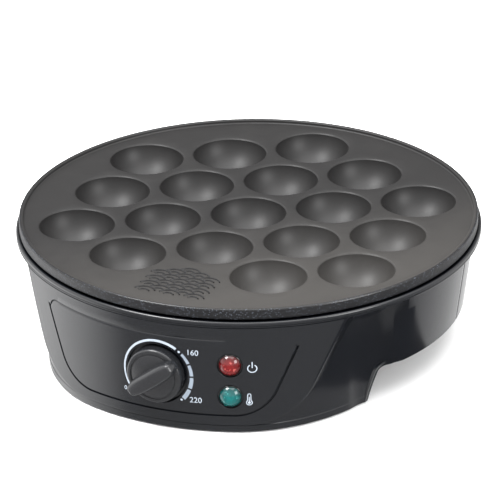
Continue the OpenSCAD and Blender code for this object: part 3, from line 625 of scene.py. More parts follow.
class Repeater:
    """A Geometry Nodes tree that sets one shape on every point of a cloud."""

    def __init__(self) -> None:
        """Builds the tree."""
        self.tree = bpy.data.node_groups.new("repeat_on_points", "GeometryNodeTree")
        sockets = self.tree.interface
        sockets.new_socket("Geometry", in_out="OUTPUT", socket_type="NodeSocketGeometry")
        sockets.new_socket("Geometry", in_out="INPUT", socket_type="NodeSocketGeometry")
        self.shape = sockets.new_socket("Shape", in_out="INPUT", socket_type="NodeSocketObject")
        self.size = sockets.new_socket("Size", in_out="INPUT", socket_type="NodeSocketFloat")
        self.paint = sockets.new_socket("Paint", in_out="INPUT", socket_type="NodeSocketMaterial")
        given = self.tree.nodes.new("NodeGroupInput")
        info = self.tree.nodes.new("GeometryNodeObjectInfo")
        turn = self.tree.nodes.new("GeometryNodeInputNamedAttribute")
        turn.data_type = "FLOAT_VECTOR"
        turn.inputs["Name"].default_value = "turn"
        copies = self.tree.nodes.new("GeometryNodeInstanceOnPoints")
        real = self.tree.nodes.new("GeometryNodeRealizeInstances")
        painted = self.tree.nodes.new("GeometryNodeSetMaterial")
        result = self.tree.nodes.new("NodeGroupOutput")
        link = self.tree.links.new
        link(given.outputs["Shape"], info.inputs["Object"])
        link(given.outputs["Geometry"], copies.inputs["Points"])
        link(info.outputs["Geometry"], copies.inputs["Instance"])
        link(turn.outputs["Attribute"], copies.inputs["Rotation"])
        link(given.outputs["Size"], copies.inputs["Scale"])
        link(copies.outputs["Instances"], real.inputs["Geometry"])
        link(real.outputs["Geometry"], painted.inputs["Geometry"])
        link(given.outputs["Paint"], painted.inputs["Material"])
        link(painted.outputs["Geometry"], result.inputs["Geometry"])

    def copies(
        self, shape: Form, points: Sequence[Sequence[float]], material: Any,
        turns: Sequence[float] | None = None,
    ) -> Form:
        """Sets a shape on points.

        Args:
            shape: the shape, round its own origin.
            points: where its origin goes.
            material: the material that the copies take.
            turns: angle of each copy round Z, in degrees.

        Returns:
            All the copies as one form.
        """
        mesh = bpy.data.meshes.new("repeated_shape")
        mesh.from_pydata(shape.points, [], shape.faces)
        model = bpy.data.objects.new("repeated_shape", mesh)
        cloud_mesh = bpy.data.meshes.new("repeat_points")
        cloud_mesh.from_pydata([tuple(map(float, p)) for p in points], [], [])
        turn = cloud_mesh.attributes.new("turn", "FLOAT_VECTOR", "POINT")
        for i, angle in enumerate(turns or [0.0] * len(points)):
            turn.data[i].vector = (0.0, 0.0, math.radians(angle))
        cloud = bpy.data.objects.new("repeat_points", cloud_mesh)
        for obj in (model, cloud):
            bpy.context.scene.collection.objects.link(obj)
        modifier = cloud.modifiers.new("repeat", "NODES")
        modifier.node_group = self.tree
        modifier[self.shape.identifier] = model
        modifier[self.size.identifier] = 1.0
        modifier[self.paint.identifier] = material
        graph = bpy.context.evaluated_depsgraph_get()
        made = bpy.data.meshes.new_from_object(cloud.evaluated_get(graph))
        result = Form()
        faces = [tuple(p.vertices) for p in made.polygons]
        result.add([tuple(v.co) for v in made.vertices], faces)
        cloud.modifiers.remove(modifier)
        for obj in (model, cloud):
            bpy.data.objects.remove(obj)
        for used in (made, mesh, cloud_mesh):
            bpy.data.meshes.remove(used)
        return result


# ---- The housing ----


@dataclass
class Moulding:
    """Outer form of the housing: front and rear walls, drum, scoops, flare and lip.

    All sizes are in millimetres, and angles in degrees. The fields whose names end in round
    say how softly two surfaces meet, and tuck is how far the wall reaches up into the lip.
    The last four place the columns of faces: their steps at the front and at the sides, and
    their tops over the bend of a finger gap.
    """

    lip_r: float = 138.0
    lip_low: float = 66.5
    lip_top: float = 70.2
    lip_inner_r: float = 135.8
    gutter_z: float = 68.2
    wall: float = 2.5
    core_r: float = 137.4
    curve_r: float = 105.4
    curve_y: float = 36.0
    drum_top_r: float = 134.0
    drum_draft: float = 0.14
    scoop_r: float = 24.0
    scoop_angle: float = 56.0
    scoop_centre_r: float = 146.0
    flare_low_r: float = 121.0
    flare_top_r: float = 131.0
    flare_h: float = 9.4
    low: float = 1.0
    band_top: float = 5.0
    band_out: float = 0.3
    grip_half: float = 68.0
    grip_lean: float = 0.27
    grip_h: float = 22.5
    grip_corner: float = 5.5
    waist: float = 84.0
    seam_angles: tuple[float, float] = (94.0, -94.0)
    seam_column: float = 0.5
    seam_half: float = 0.45
    seam_depth: float = 0.4
    core_round: float = 2.0
    scoop_rounds: tuple[float, float] = (3.0, 6.0)
    flare_round: float = 2.5
    drum_start: float = 50.0
    drum_blend: float = 8.0
    tuck: float = 0.3
    front_step: float = 2.0
    side_start: float = 48.0
    side_step: float = 0.7
    bend_tops: tuple[float, float] = (59.6, 64.0)

    def core(self, fold: Any) -> Any:
        """Returns the radius of the front and rear walls at a folded angle."""
        a = np.radians(fold)
        side = self.curve_y * np.cos(a) + np.sqrt(
            self.curve_r**2 - (self.curve_y * np.sin(a)) ** 2
        )
        return soft_min(side, self.core_r, self.core_round)

    def scoop(self, fold: Any) -> Any:
        """Returns the radius of a scoop's wall, far out beside the scoop."""
        off = np.radians(np.abs(np.asarray(fold, float) - self.scoop_angle))
        across = self.scoop_centre_r * np.sin(off)
        inside = np.maximum(self.scoop_r**2 - across**2, 0.0)
        edge = self.scoop_centre_r * np.cos(off) - np.sqrt(inside)
        return edge + np.maximum(across - self.scoop_r * 0.985, 0.0) * 3

    def radius(self, angle: Any, z: Any) -> Any:
        """Returns the outer radius without the front panel.

        Args:
            angle: angle from the front.
            z: height above the table.

        Returns:
            The radius, with the shape that both arguments give together.
        """
        fold = np.abs((np.asarray(angle, float) + 180) % 360 - 180)
        fold = np.where(fold > 90, 180 - fold, fold)
        z = np.asarray(z, float)
        core = self.core(fold)
        drum = self.drum_top_r - self.drum_draft * np.maximum(self.lip_low - z, 0)
        outer = core + (drum - core) * ease((fold - self.drum_start) / self.drum_blend)
        front, rear = self.scoop_rounds
        body = soft_min(outer, self.scoop(fold), np.where(fold > self.scoop_angle, rear, front))
        rise = (z - (self.lip_low - self.flare_h)) / self.flare_h
        flare = self.flare_low_r + (self.flare_top_r - self.flare_low_r) * rise
        body = soft_max(body, np.where(rise > -0.6, flare, 0.0), self.flare_round)
        in_band = np.clip((self.band_top - z) / self.band_out, 0.0, 1.0)
        return body + self.band_out * in_band

    def grip_line(self, steps: int = 8) -> list[tuple[float, float]]:
        """Returns (y, z) points up one end of a finger gap and along it to its middle."""
        turn = math.atan(self.grip_lean)
        mid = self.grip_h - self.grip_corner
        near = self.grip_half - self.grip_lean * mid - self.grip_corner / math.cos(turn)
        bend = round_corner((near, mid), self.grip_corner, math.degrees(turn), 90, steps)
        upright = [(self.grip_half - self.grip_lean * z, z)
                   for z in np.linspace(self.low, bend[0][1], 4)[:-1]]
        flat = [(y, self.grip_h) for y in (52, 46, 40, 34, 28, 22, 16, 11, 6, 0)]
        return [(-y, z) for y, z in upright + bend + flat]

    def angle_at(self, y: float, z: float) -> float:
        """Returns the angle on the +X side at which the skin reaches this y and height."""
        low, high = 50.0, 90.0
        for _ in range(40):
            mid = (low + high) / 2
            if self.radius(mid, z) * math.cos(math.radians(mid)) > -y:
                low = mid
            else:
                high = mid
        return (low + high) / 2

    def columns(self) -> list[tuple[float, float, float]]:
        """Returns each column's angle at the top, and its angle and height at the foot.

        The columns go once round the body, and follow the ends of the finger gaps.
        """
        line = [(self.angle_at(y, z), z) for y, z in self.grip_line()]
        start = line[0][0]
        plain = [*np.arange(0, self.side_start, self.front_step)]
        plain += [*np.arange(self.side_start, start - 0.5, self.side_step)]
        first = [(float(a), float(a), self.low) for a in plain]
        bend_first, bend_last = 3, 11
        tops = np.interp(
            range(len(line)), [0, bend_first, bend_last, len(line) - 1],
            [start + 0.2, *self.bend_tops, 90],
        )
        tops[bend_last:] = [a for a, _ in line[bend_last:]]
        quarter = first + [(float(t), a, z) for t, (a, z) in zip(tops, line)]
        back = [(180 - t, 180 - a, z) for t, a, z in reversed(quarter[:-1])]
        half = quarter + back
        for off in (-self.seam_column, 0.0, self.seam_column):
            half.append((self.seam_angles[0] + off, self.seam_angles[0] + off, self.grip_h))
        half.sort()
        left = [(-t, -a, z) for t, a, z in reversed(half[1:-1])]
        return half + left

    def shell(self, dip: Callable[[Any, Any, Any], Any]) -> Form:
        """Makes the wall under the lip.

        Args:
            dip: how far the wall steps back at an x, y and z, behind the panel.

        Returns:
            A closed form with the wall's inner side.
        """
        columns = self.columns()
        top = np.array([c[0] for c in columns])
        foot = np.array([c[1] for c in columns])
        base = np.array([c[2] for c in columns])
        step = (self.band_top - self.low) / (self.lip_low + self.tuck - self.low)
        levels = np.concatenate([np.linspace(0, step - 0.008, 3), [step - 0.0045, step - 0.002],
                                 np.linspace(step, step + 0.006, 3), np.linspace(0.10, 1.0, 46)])
        rows = []
        for t in levels:
            rows.append(self._ring(top, foot, base, t, 0.0, dip))
        for t in np.linspace(1.0, 0.0, 12):
            rows.append(self._ring(top, foot, base, t, self.wall, dip))
        form = Form()
        form.grid(rows, wrap_rows=True, wrap_columns=True)
        return form

    def _ring(self, top: Any, foot: Any, base: Any, t: float, inset: float, dip: Any) -> Any:
        """Returns one ring of the shell at a share t of the way up."""
        angle = foot + (top - foot) * t
        z = base + (self.lip_low + self.tuck - base) * t
        r = self.radius(angle, z) - inset
        for seam in self.seam_angles:
            if inset == 0.0:
                near = np.clip(1 - np.abs(angle - seam) / self.seam_half, 0, 1)
                r = r - self.seam_depth * near
        a = np.radians(angle)
        x, y = r * np.sin(a), -r * np.cos(a)
        r = r - dip(x, y, z)
        return np.stack([r * np.sin(a), -r * np.cos(a), z], axis=1)

    def liner(self, side: int) -> Form:
        """Makes the walls of one finger gap; side is 1 or -1."""
        line = self.grip_line()
        near = line + [(-y, z) for y, z in reversed(line[:-1])]
        rows = []
        for i, (y, z) in enumerate(near):
            before, after = near[max(i - 1, 0)], near[min(i + 1, len(near) - 1)]
            along = np.array([after[0] - before[0], after[1] - before[1]])
            along /= np.linalg.norm(along)
            out = np.array([y, z]) + self.wall * np.array([-along[1], along[0]])
            if i in (0, len(near) - 1):
                out[1] = z
            fold = self.angle_at(-abs(y), z)
            a = math.radians(fold)
            reach = float(self.radius(fold, z)) * math.sin(a) - 0.5
            edge = self.waist
            rows.append([
                (reach, y, z), (edge + 1.2, y, z), (edge + 0.3, y, z - min(0.35, z - self.low)),
                (edge, y, max(z - 1.2, self.low)), (edge, y, self.low),
                (edge - self.wall, out[0], self.low), (edge - self.wall, out[0], out[1]),
                (reach, out[0], out[1]),
            ])
        rows = np.array(rows)
        rows[:, :, 0] *= side
        form = Form()
        form.grid(rows, wrap_columns=True)
        for i in (0, len(rows) - 1):
            form.add(rows[i], [tuple(range(8))])
        return form

    def lip(self) -> Form:
        """Makes the lip with its fine line, and the gutter inside it."""
        low, top, r = self.lip_low, self.lip_top, self.lip_r
        inner = self.flare_top_r - self.wall
        profile = [(inner, low), (r - 0.5, low)]
        profile += round_corner((r - 0.5, low + 0.5), 0.5, -90, 0, 4)[1:]
        profile += [(r, low + 1.0), (r - 0.28, low + 1.15), (r - 0.28, low + 1.35), (r, low + 1.5)]
        profile += round_corner((r - 1.2, top - 1.2), 1.2, 0, 90, 8)
        profile += round_corner((self.lip_inner_r + 0.6, top - 0.6), 0.6, 90, 180, 5)
        profile += [(self.lip_inner_r, self.gutter_z), (inner, self.gutter_z)]
        form = Form()
        form.turned(profile, 300, closed=True)
        return form


@dataclass
class FrontPanel:
    """Raised shield on the front, with its groove, knob pocket and lamp seats.

    Sizes are in millimetres. The shield is half wide each way at its top, and its sides lean
    in by lean for each unit down. groove_side and groove_low are the groove's insets from the
    sides and the lower edge, and groove_top the height at which it fades out. The crease runs
    at crease_z between the two values of crease_x. The lamps stand at lamp_angle degrees.
    """

    moulding: Moulding
    r: float = 138.2
    half: float = 100.0
    lean: float = 0.395
    bottom: float = 5.0
    corner: float = 38.0
    top: float = 66.5
    edge_round: float = 0.7
    thickness: float = 4.7
    groove_side: float = 15.8
    groove_low: float = 6.0
    groove_corner: float = 25.0
    groove_top: float = 54.0
    groove_w: float = 1.3
    groove_depth: float = 1.0
    crease_z: float = 58.9
    crease_x: tuple[float, float] = (-70.6, 44.0)
    crease_bend: float = 5.5
    crease_depth: float = 0.28
    knob_z: float = 34.2
    pocket_r: float = 18.5
    pocket_floor: float = 135.2
    collar_r: float = 4.9
    lamp_angle: float = 17.9
    lamp_heights: tuple[float, float] = (43.2, 23.5)
    seat_r: float = 7.3
    seat: float = 137.0
    barrel_r: float = 5.4

    def outline(self, side: float, low: float, corner: float) -> np.ndarray:
        """Makes the panel's outline seen from the front, or one inside it.

        Args:
            side: inset from the leaning sides.
            low: inset from the lower edge.
            corner: radius of the lower corners.

        Returns:
            Points (x, z) from the upper left down and round to the upper right.
        """
        mid = self.bottom + low + corner
        slope = math.sqrt(1 + self.lean**2)
        edge = self.half - side * slope - self.lean * (self.top - mid)
        centre = edge - corner * slope
        turn = math.degrees(math.atan(self.lean))
        high = edge + self.lean * (self.top - mid)
        arc = round_corner((centre, mid), corner, -90, -turn, 26)
        share = np.linspace(0, 1, 30)[1:]
        run = [(arc[-1][0] + (high - arc[-1][0]) * t, arc[-1][1] + (self.top - arc[-1][1]) * t)
               for t in share]
        flat = [(x, self.bottom + low) for x in np.linspace(0, centre, 20)[:-1]]
        right = np.array(flat + arc + run)
        left = right[:0:-1] * (-1, 1)
        return np.concatenate([left, right])

    def inset(self, x: Any, z: Any) -> Any:
        """Returns how far inside the outline a point seen from the front lies."""
        mid = self.bottom + self.corner
        slope = math.sqrt(1 + self.lean**2)
        edge = self.half - self.lean * (self.top - mid)
        centre = edge - self.corner * slope
        x = np.abs(x)
        side = (edge + self.lean * (z - mid) - x) / slope
        low = z - self.bottom
        bend = self.corner - np.hypot(x - centre, z - mid)
        cornered = (x > centre) & (z < mid + self.lean * (x - centre) * -1)
        return np.where(cornered, bend, np.minimum(side, low))

    def dip(self, x: Any, y: Any, z: Any) -> Any:
        """Returns how far the wall behind the panel steps back from it."""
        return np.where(y < 0, 6.0 * ease((self.inset(x, z) - 3) / 6), 0.0)

    def front(self, x: Any, z: Any, depth: Any = 0.0) -> np.ndarray:
        """Returns points on the panel's face, pushed in by depth, for arrays of x and z."""
        y = -np.sqrt((self.r - np.asarray(depth)) ** 2 - np.asarray(x) ** 2)
        return np.stack(np.broadcast_arrays(x, y, z), axis=-1)

    def back_y(self, x: float, z: float) -> float:
        """Returns the y of the panel's hidden back at a point seen from the front."""
        level = min(z, self.top - 0.5)
        near = -math.sqrt((self.r - self.thickness) ** 2 - x**2)
        side = abs(x)
        low, high = math.asin(side / self.r), math.radians(62)
        if self.moulding.radius(math.degrees(high), level) * math.sin(high) < side:
            high = math.radians(75)
        for _ in range(30):
            mid = (low + high) / 2
            if self.moulding.radius(math.degrees(mid), level) > side / max(math.sin(mid), 1e-6):
                high = mid
            else:
                low = mid
        deep = near if side < 30 else -side / math.tan((low + high) / 2) + 1.6
        share = float(ease(1 - self.inset(x, z) / 6))
        return max(near, near + (deep - near) * share)

    def build(self) -> Form:
        """Makes the panel as a closed form."""
        form = Form()
        rings = self._edge_rings()
        for (a, da), (b, db) in zip(rings, rings[1:]):
            form.grid([self.front(a[:, 0], a[:, 1], da), self.front(b[:, 0], b[:, 1], db)])
        inner = rings[-1][0]
        xs = np.linspace(inner[-1][0], inner[0][0], 62)[1:-1]
        self._face(form, inner, xs)
        self._back(form, rings, xs)
        return form

    def _edge_rings(self) -> list[tuple[np.ndarray, np.ndarray]]:
        """Returns outlines from the panel's edge to inside the groove, with their depths."""
        rings = []
        for inset, depth in ((0.0, 0.7), (0.06, 0.36), (0.25, 0.12), (0.7, 0.0)):
            ring = self.outline(inset, inset, self.corner - inset)
            rings.append((ring, np.full(len(ring), depth)))
        edge = rings[-1][0]
        lip = self.outline(self.groove_side, self.groove_low, self.groove_corner)
        for t in (0.06, 0.28, 0.5, 0.72, 0.94):
            ring = edge + (lip - edge) * t
            rings.append((ring, np.zeros(len(ring))))
        for into, share in ((0, 0), (0.1, 0.5), (0.3, 1), (1.0, 1), (1.2, 0.5), (1.3, 0)):
            ring = self.outline(
                self.groove_side + into, self.groove_low + into, self.groove_corner - into
            )
            fade = ease((self.groove_top + 0.8 - ring[:, 1]) / 1.6)
            rings.append((ring, self.groove_depth * share * fade))
        return rings

    def _crease(self, off: float) -> np.ndarray:
        """Returns the crease's line, which leaves the groove's left end in a bend.

        Args:
            off: how far above the line the points lie.

        Returns:
            Points (x, z) from the left to the right.
        """
        mid = (self.crease_x[0], self.crease_z - self.crease_bend)
        bend = round_corner(mid, self.crease_bend + off, 168, 90, 10)
        run = [(x, self.crease_z + off) for x in np.linspace(*self.crease_x, 70)[1:]]
        return np.array(bend + run)

    def _face(self, form: Form, inner: np.ndarray, xs: np.ndarray) -> None:
        """Adds the face inside the groove, with its crease, pocket and lamp seats."""
        rounding = ((0.5, 0.0), (0.2, 0.07), (0.05, 0.22), (0.0, 0.5))
        pocket = [self._pocket_ring(self.pocket_r + g) for g, _ in rounding]
        seats = [[self._seat_ring(h, self.seat_r + g * 0.8) for g, _ in rounding]
                 for h in self.lamp_heights]
        top = np.stack([xs, np.full(len(xs), self.top)], axis=1)
        rim = np.concatenate([inner, top])
        holes = [pocket[0]] + [s[0] for s in seats]
        lines = [self._crease(off) for off in (-0.5, 0.0, 0.5)]
        crease = lines[1]

        def inside(x: float, z: float, room: float = 0.0) -> bool:
            """Says whether a point of the face is clear of its borders."""
            if math.hypot(x, z - self.knob_z) < self.pocket_r + 0.5 + room:
                return False
            for height in self.lamp_heights:
                s = self.r * (math.asin(x / self.r) - math.radians(self.lamp_angle))
                if math.hypot(s, z - height) < self.seat_r + 0.4 + room:
                    return False
            clear = self._inside_groove(x, z) > room and z < self.top - room
            return clear and not (room and np.hypot(*(crease - (x, z)).T).min() < room)

        extra = spaced((-90, 10, 90, 68), 3.2, lambda x, z: inside(x, z, 1.5))
        extra = np.concatenate([extra, *lines])
        xy, faces = filled([rim, *holes], extra, inside)
        near = np.array([np.hypot(*(crease - p).T).min() for p in xy])
        deep = self.crease_depth * (1 + ease((-xy[:, 0] - 66.0) / 8))
        within = ease((self.crease_x[1] - xy[:, 0]) / 6)
        depth = np.where(near < 1e-3, deep * within, 0.0)
        form.add(self.front(xy[:, 0], xy[:, 1], depth), faces)
        self._hole(form, pocket, rounding, None)
        for height, rings in zip(self.lamp_heights, seats):
            self._hole(form, rings, rounding, height)

    def _inside_groove(self, x: float, z: float) -> float:
        """Returns how far inside the groove's inner outline a point lies."""
        low = self.bottom + self.groove_low + self.groove_w
        corner = self.groove_corner - self.groove_w
        mid, slope = low + corner, math.sqrt(1 + self.lean**2)
        edge = self.half - (self.groove_side + self.groove_w) * slope
        edge -= self.lean * (self.top - mid)
        centre = edge - corner * slope
        x = abs(x)
        if x > centre and z < mid - self.lean * (x - centre):
            return corner - math.hypot(x - centre, z - mid)
        return min((edge + self.lean * (z - mid) - x) / slope, z - low)

    def _pocket_ring(self, r: float) -> np.ndarray:
        """Returns a circle round the knob's axis seen from the front."""
        a = np.arange(96) * 2 * math.pi / 96
        return np.stack([r * np.cos(a), self.knob_z + r * np.sin(a)], axis=1)

    def _seat_ring(self, height: float, r: float) -> np.ndarray:
        """Returns a circle round a lamp's axis, as it is seen from the front."""
        a = np.arange(64) * 2 * math.pi / 64
        turn = math.radians(self.lamp_angle) + np.arcsin(r * np.cos(a) / self.r)
        return np.stack([self.r * np.sin(turn), height + r * np.sin(a)], axis=1)

    def _seat_points(self, height: float, r: float, out: float) -> np.ndarray:
        """Returns a circle round a lamp's axis, at a distance out along that axis."""
        a, turn = np.arange(64) * 2 * math.pi / 64, math.radians(self.lamp_angle)
        x = out * math.sin(turn) + r * np.cos(a) * math.cos(turn)
        y = -out * math.cos(turn) + r * np.cos(a) * math.sin(turn)
        return np.stack([x, y, height + r * np.sin(a)], axis=1)

    def _pocket_points(self, r: float, y: float) -> np.ndarray:
        """Returns a circle round the knob's axis in space."""
        ring = self._pocket_ring(r)
        return np.stack([ring[:, 0], np.full(len(ring), y), ring[:, 1]], axis=1)

    def _hole(self, form: Form, rings: list, rounding: Any, height: float | None) -> None:
        """Adds a rounded mouth, wall and floor; height is a lamp's, or None for the knob."""
        rows = [self.front(r[:, 0], r[:, 1], d) for r, (_, d) in zip(rings, rounding)]
        if height is None:
            floor = -self.pocket_floor
            rows += [self._pocket_points(self.pocket_r, floor - 0.4)]
            rows += [self._pocket_points(self.pocket_r - 0.4, floor)]
            rows += [self._pocket_points(self.collar_r, floor)]
        else:
            rows += [self._seat_points(height, self.seat_r, self.seat + 0.1)]
            rows += [self._seat_points(height, self.seat_r - 0.1, self.seat)]
            rows += [self._seat_points(height, self.barrel_r, self.seat)]
        form.grid(rows, wrap_columns=True)

    def _back(self, form: Form, rings: list, xs: np.ndarray) -> None:
        """Adds the hidden back, the side wall, the top edge and the holes' walls."""
        outer = rings[0][0]
        left = [r[0] for r, _ in rings[1:]]
        right = [r[-1] for r, _ in reversed(rings[1:])]
        top = np.array(right + [(x, self.top) for x in xs] + left)
        front_top = [self.front(*outer[-1], self.edge_round)]
        front_top += [self.front(*r[-1], d[-1]) for r, d in reversed(rings[1:])]
        front_top += [self.front(x, self.top) for x in xs]
        front_top += [self.front(*r[0], d[0]) for r, d in rings[1:]]
        front_top += [self.front(*outer[0], self.edge_round)]
        knob = self._pocket_ring(self.collar_r)
        lamps = [self._seat_points(h, self.barrel_r, self.seat) for h in self.lamp_heights]
        holes = [knob] + [lamp[:, (0, 2)] for lamp in lamps]

        def kept(x: float, z: float, room: float = 0.0) -> bool:
            """Says whether a point of the back is clear of its borders."""
            if math.hypot(x, z - self.knob_z) < self.collar_r + room:
                return False
            turn = math.radians(self.lamp_angle)
            for height in self.lamp_heights:
                s = (x - self.seat * math.sin(turn)) / math.cos(turn)
                if math.hypot(s, z - height) < self.barrel_r + room:
                    return False
            return float(self.inset(x, z)) > room and z < self.top - room

        extra = spaced((-99, 6, 99, 66), 6.0, lambda x, z: kept(x, z, 1.5))
        xy, faces = filled([np.concatenate([outer, top]), *holes], extra, kept)
        back = np.array([(x, self.back_y(x, z), z) for x, z in xy])
        form.add(back, faces)
        wall = np.array([(x, self.back_y(x, z), z) for x, z in outer])
        form.grid([self.front(outer[:, 0], outer[:, 1], self.edge_round), wall])
        edge = np.concatenate([outer[-1:], top, outer[:1]])
        over = np.array([(x, self.back_y(x, z), z) for x, z in edge])
        form.grid([np.array(front_top), over])
        rim = self._pocket_points(self.collar_r, -self.pocket_floor)
        rear = np.array([(x, self.back_y(x, z), z) for x, z in knob])
        form.grid([rim, rear], wrap_columns=True)
        for lamp in lamps:
            rear = np.array([(x, self.back_y(x, z), z) for x, _, z in lamp])
            form.grid([lamp, rear], wrap_columns=True)

    def wrapped(self, points: np.ndarray, stand: float = 0.05) -> np.ndarray:
        """Lays flat points (x, z, height) on the panel's face and returns them in space."""
        reach = np.sqrt((self.r + stand * points[:, 2]) ** 2 - points[:, 0] ** 2)
        return np.stack([points[:, 0], -reach, points[:, 1]], axis=1)


@dataclass
class Housing:
    """The moulded base with its raised front panel."""

    moulding: Moulding = field(default_factory=Moulding)

    def __post_init__(self) -> None:
        """Makes the panel that belongs to the moulding."""
        self.panel = FrontPanel(self.moulding)

    def build(self) -> None:
        """Makes the housing's piece."""
        form = self.moulding.shell(self.panel.dip)
        form.join(self.panel.build())
        for side in (1, -1):
            form.join(self.moulding.liner(side))
        form.join(self.moulding.lip())
        make_piece(
            "housing_shell", form, HOUSING_PLASTIC.make(), Body.BASE, ("housing",)
        )


# ---- The cooking plate ----


@dataclass
class CookingPlate:
    """Cast plate with eighteen domed wells and a raised wave pattern at its front."""

    r: float = 136.0
    rim_top: float = 77.5
    top: float = 75.2
    under: float = 71.6
    rim_w: float = 2.6
    skirt_low: float = 71.0
    skirt_w: float = 3.0
    well_r: float = 22.5
    bowl_r: float = 22.656
    bowl_z: float = 77.856
    dome_r: float = 25.256
    chamfer: float = 0.7
    pitch: float = 51.0
    sides: int = 56
    boss_circle: float = 118.5
    boss_r: float = 5.0
    boss_low: float = 57.3
    scale_r: float = 7.6
    scale_y: float = -121.0
    scale_rows: tuple[int, ...] = (3, 2, 3, 2, 3, 2, 3, 2, 1)
    ridge_w: float = 1.0
    ridge_h: float = 0.7

    def wells(self) -> list[tuple[float, float]]:
        """Returns the middle of each well."""
        spots = [(0.0, 0.0)]
        for reach, angles in (
            (self.pitch, range(0, 360, 60)),
            (self.pitch * math.sqrt(3), range(30, 360, 60)),
            (self.pitch * 2, range(60, 360, 60)),
        ):
            for a in map(math.radians, angles):
                spots.append((reach * math.sin(a), -reach * math.cos(a)))
        return spots

    def build(self, repeater: Repeater) -> None:
        """Makes the plate's piece."""
        material = CastCoating().make()
        form = self._rim()
        mouth = self.well_r + self.chamfer
        dome = math.sqrt(self.dome_r**2 - (self.bowl_z - self.under) ** 2)
        self._web(form, self.top, self.r - self.rim_w - 0.9, mouth)
        self._web(form, self.under, self.r - self.skirt_w, dome)
        points = [(x, y, 0.0) for x, y in self.wells()]
        form.join(repeater.copies(self._cup(mouth, dome), points, material))
        self._bosses(form, repeater, material)
        form.join(repeater.copies(self._scale(), self._scale_points(), material))
        make_piece(
            "cooking_plate_cast", form, material, Body.BASE, ("cooking_plate",), 28.0
        )

    def _rim(self) -> Form:
        """Makes the raised rim and the skirt."""
        inner = self.r - self.rim_w
        profile = [(inner - 0.9, self.top)]
        profile += round_corner((inner - 0.9, self.top + 0.9), 0.9, -90, 0, 5)[1:]
        profile += round_corner((inner + 0.8, self.rim_top - 0.8), 0.8, 180, 90, 5)
        profile += round_corner((self.r - 0.9, self.rim_top - 0.9), 0.9, 90, 0, 6)
        profile += [(self.r, self.skirt_low + 1.4)]
        profile += round_corner((self.r - 0.8, self.skirt_low + 0.8), 0.8, 0, -90, 4)
        profile += [(self.r - self.skirt_w, self.skirt_low), (self.r - self.skirt_w, self.under)]
        form = Form()
        form.turned(profile, 240, closed=False)
        return form

    def _web(self, form: Form, z: float, edge: float, hole: float) -> None:
        """Adds a flat side of the plate, with a hole for every well."""
        def ring(x: float, y: float, r: float, sides: int) -> np.ndarray:
            """Returns a circle's points, in the order that a turned form has."""
            a = np.arange(sides) * 2 * math.pi / sides
            return np.stack([x + r * np.sin(a), y - r * np.cos(a)], axis=1)

        def kept(x: float, y: float, room: float = 0.0) -> bool:
            """Says whether a point is on the flat side."""
            clear = all(math.hypot(x - a, y - b) > hole + room for a, b in self.wells())
            return clear and math.hypot(x, y) < edge - room

        loops = [ring(0, 0, edge, 240)] + [ring(x, y, hole, self.sides) for x, y in self.wells()]
        extra = spaced((-edge, -edge, edge, edge), 7.0, lambda x, y: kept(x, y, 2.0))
        xy, faces = filled(loops, extra, kept)
        form.add(np.column_stack([xy, np.full(len(xy), z)]), faces)

    def _cup(self, mouth: float, dome: float) -> Form:
        """Makes one well from its mouth down, and the dome under it."""
        bend, dip = 0.35, 0.12
        drop = self.bowl_z - self.top + self.chamfer + bend
        start = math.degrees(math.acos(drop / self.bowl_r))
        bowl = [(mouth, self.top), (mouth - bend, self.top - dip)]
        bowl += [(self.well_r - dip, self.top - self.chamfer)]
        turns = np.radians(np.linspace(start, 0.8, 15))
        bowl += [(self.bowl_r * math.sin(t), self.bowl_z - self.bowl_r * math.cos(t))
                 for t in turns]
        under = math.degrees(math.asin(dome / self.dome_r))
        turns = np.radians(np.linspace(0.8, under, 13))
        shell = [(self.dome_r * math.sin(t), self.bowl_z - self.dome_r * math.cos(t))
                 for t in turns]
        form = Form()
        form.turned(bowl, self.sides, closed=False)
        form.turned(shell, self.sides, closed=False)
        for r, z in (bowl[-1], shell[0]):
            a = np.arange(self.sides) * 2 * math.pi / self.sides
            cap = np.stack([r * np.sin(a), -r * np.cos(a), np.full(self.sides, z)], axis=1)
            form.add(cap, [tuple(range(self.sides))])
        return form

    def _bosses(self, form: Form, repeater: Repeater, material: Any) -> None:
        """Adds the four bosses that the plate screws go into."""
        boss = Form()
        low, high = self.boss_low, self.under + 1
        boss.turned(
            [(2.0, low + 8), (2.0, low), (self.boss_r, low), (self.boss_r, high), (0.02, high),
             (0.02, low + 8)], 36, closed=True,
        )
        spots = [math.radians(a) for a in (30, 150, 210, 330)]
        reach = self.boss_circle
        points = [(reach * math.sin(a), -reach * math.cos(a), 0.0) for a in spots]
        form.join(repeater.copies(boss, points, material))

    def _scale(self) -> Form:
        """Makes one scale of the wave pattern: two nested arcs in low relief."""
        form = Form()
        side = self.scale_r
        for r in (side - self.ridge_w / 2, side * 0.5):
            shown = [t for t in np.linspace(0, 180, 91)
                     if math.hypot(abs(r * math.cos(math.radians(t))) - side,
                                   r * math.sin(math.radians(t)) + side / 2) >= side - 0.3]
            rows = []
            for t in np.radians(np.linspace(shown[0], shown[-1], 25)):
                row = []
                for off, high in ((-1, -0.5), (-0.72, 0.55), (-0.25, 1), (0.25, 1), (0.72, 0.55),
                                  (1, -0.5)):
                    reach = r + off * self.ridge_w / 2
                    row.append((reach * math.cos(t), reach * math.sin(t), high * self.ridge_h))
                rows.append(row)
            form.grid(rows, wrap_columns=True)
            for row in (rows[0], rows[-1]):
                form.add(row, [tuple(range(6))])
        return form

    def _scale_points(self) -> list[tuple[float, float, float]]:
        """Returns where the scales of the pattern go."""
        points = []
        for row, count in enumerate(self.scale_rows):
            for i in range(count):
                x = (i - (count - 1) / 2) * 2 * self.scale_r
                points.append((x, self.scale_y + row * self.scale_r / 2, self.top))
        return points


# ---- Knob, lamps and dial ----


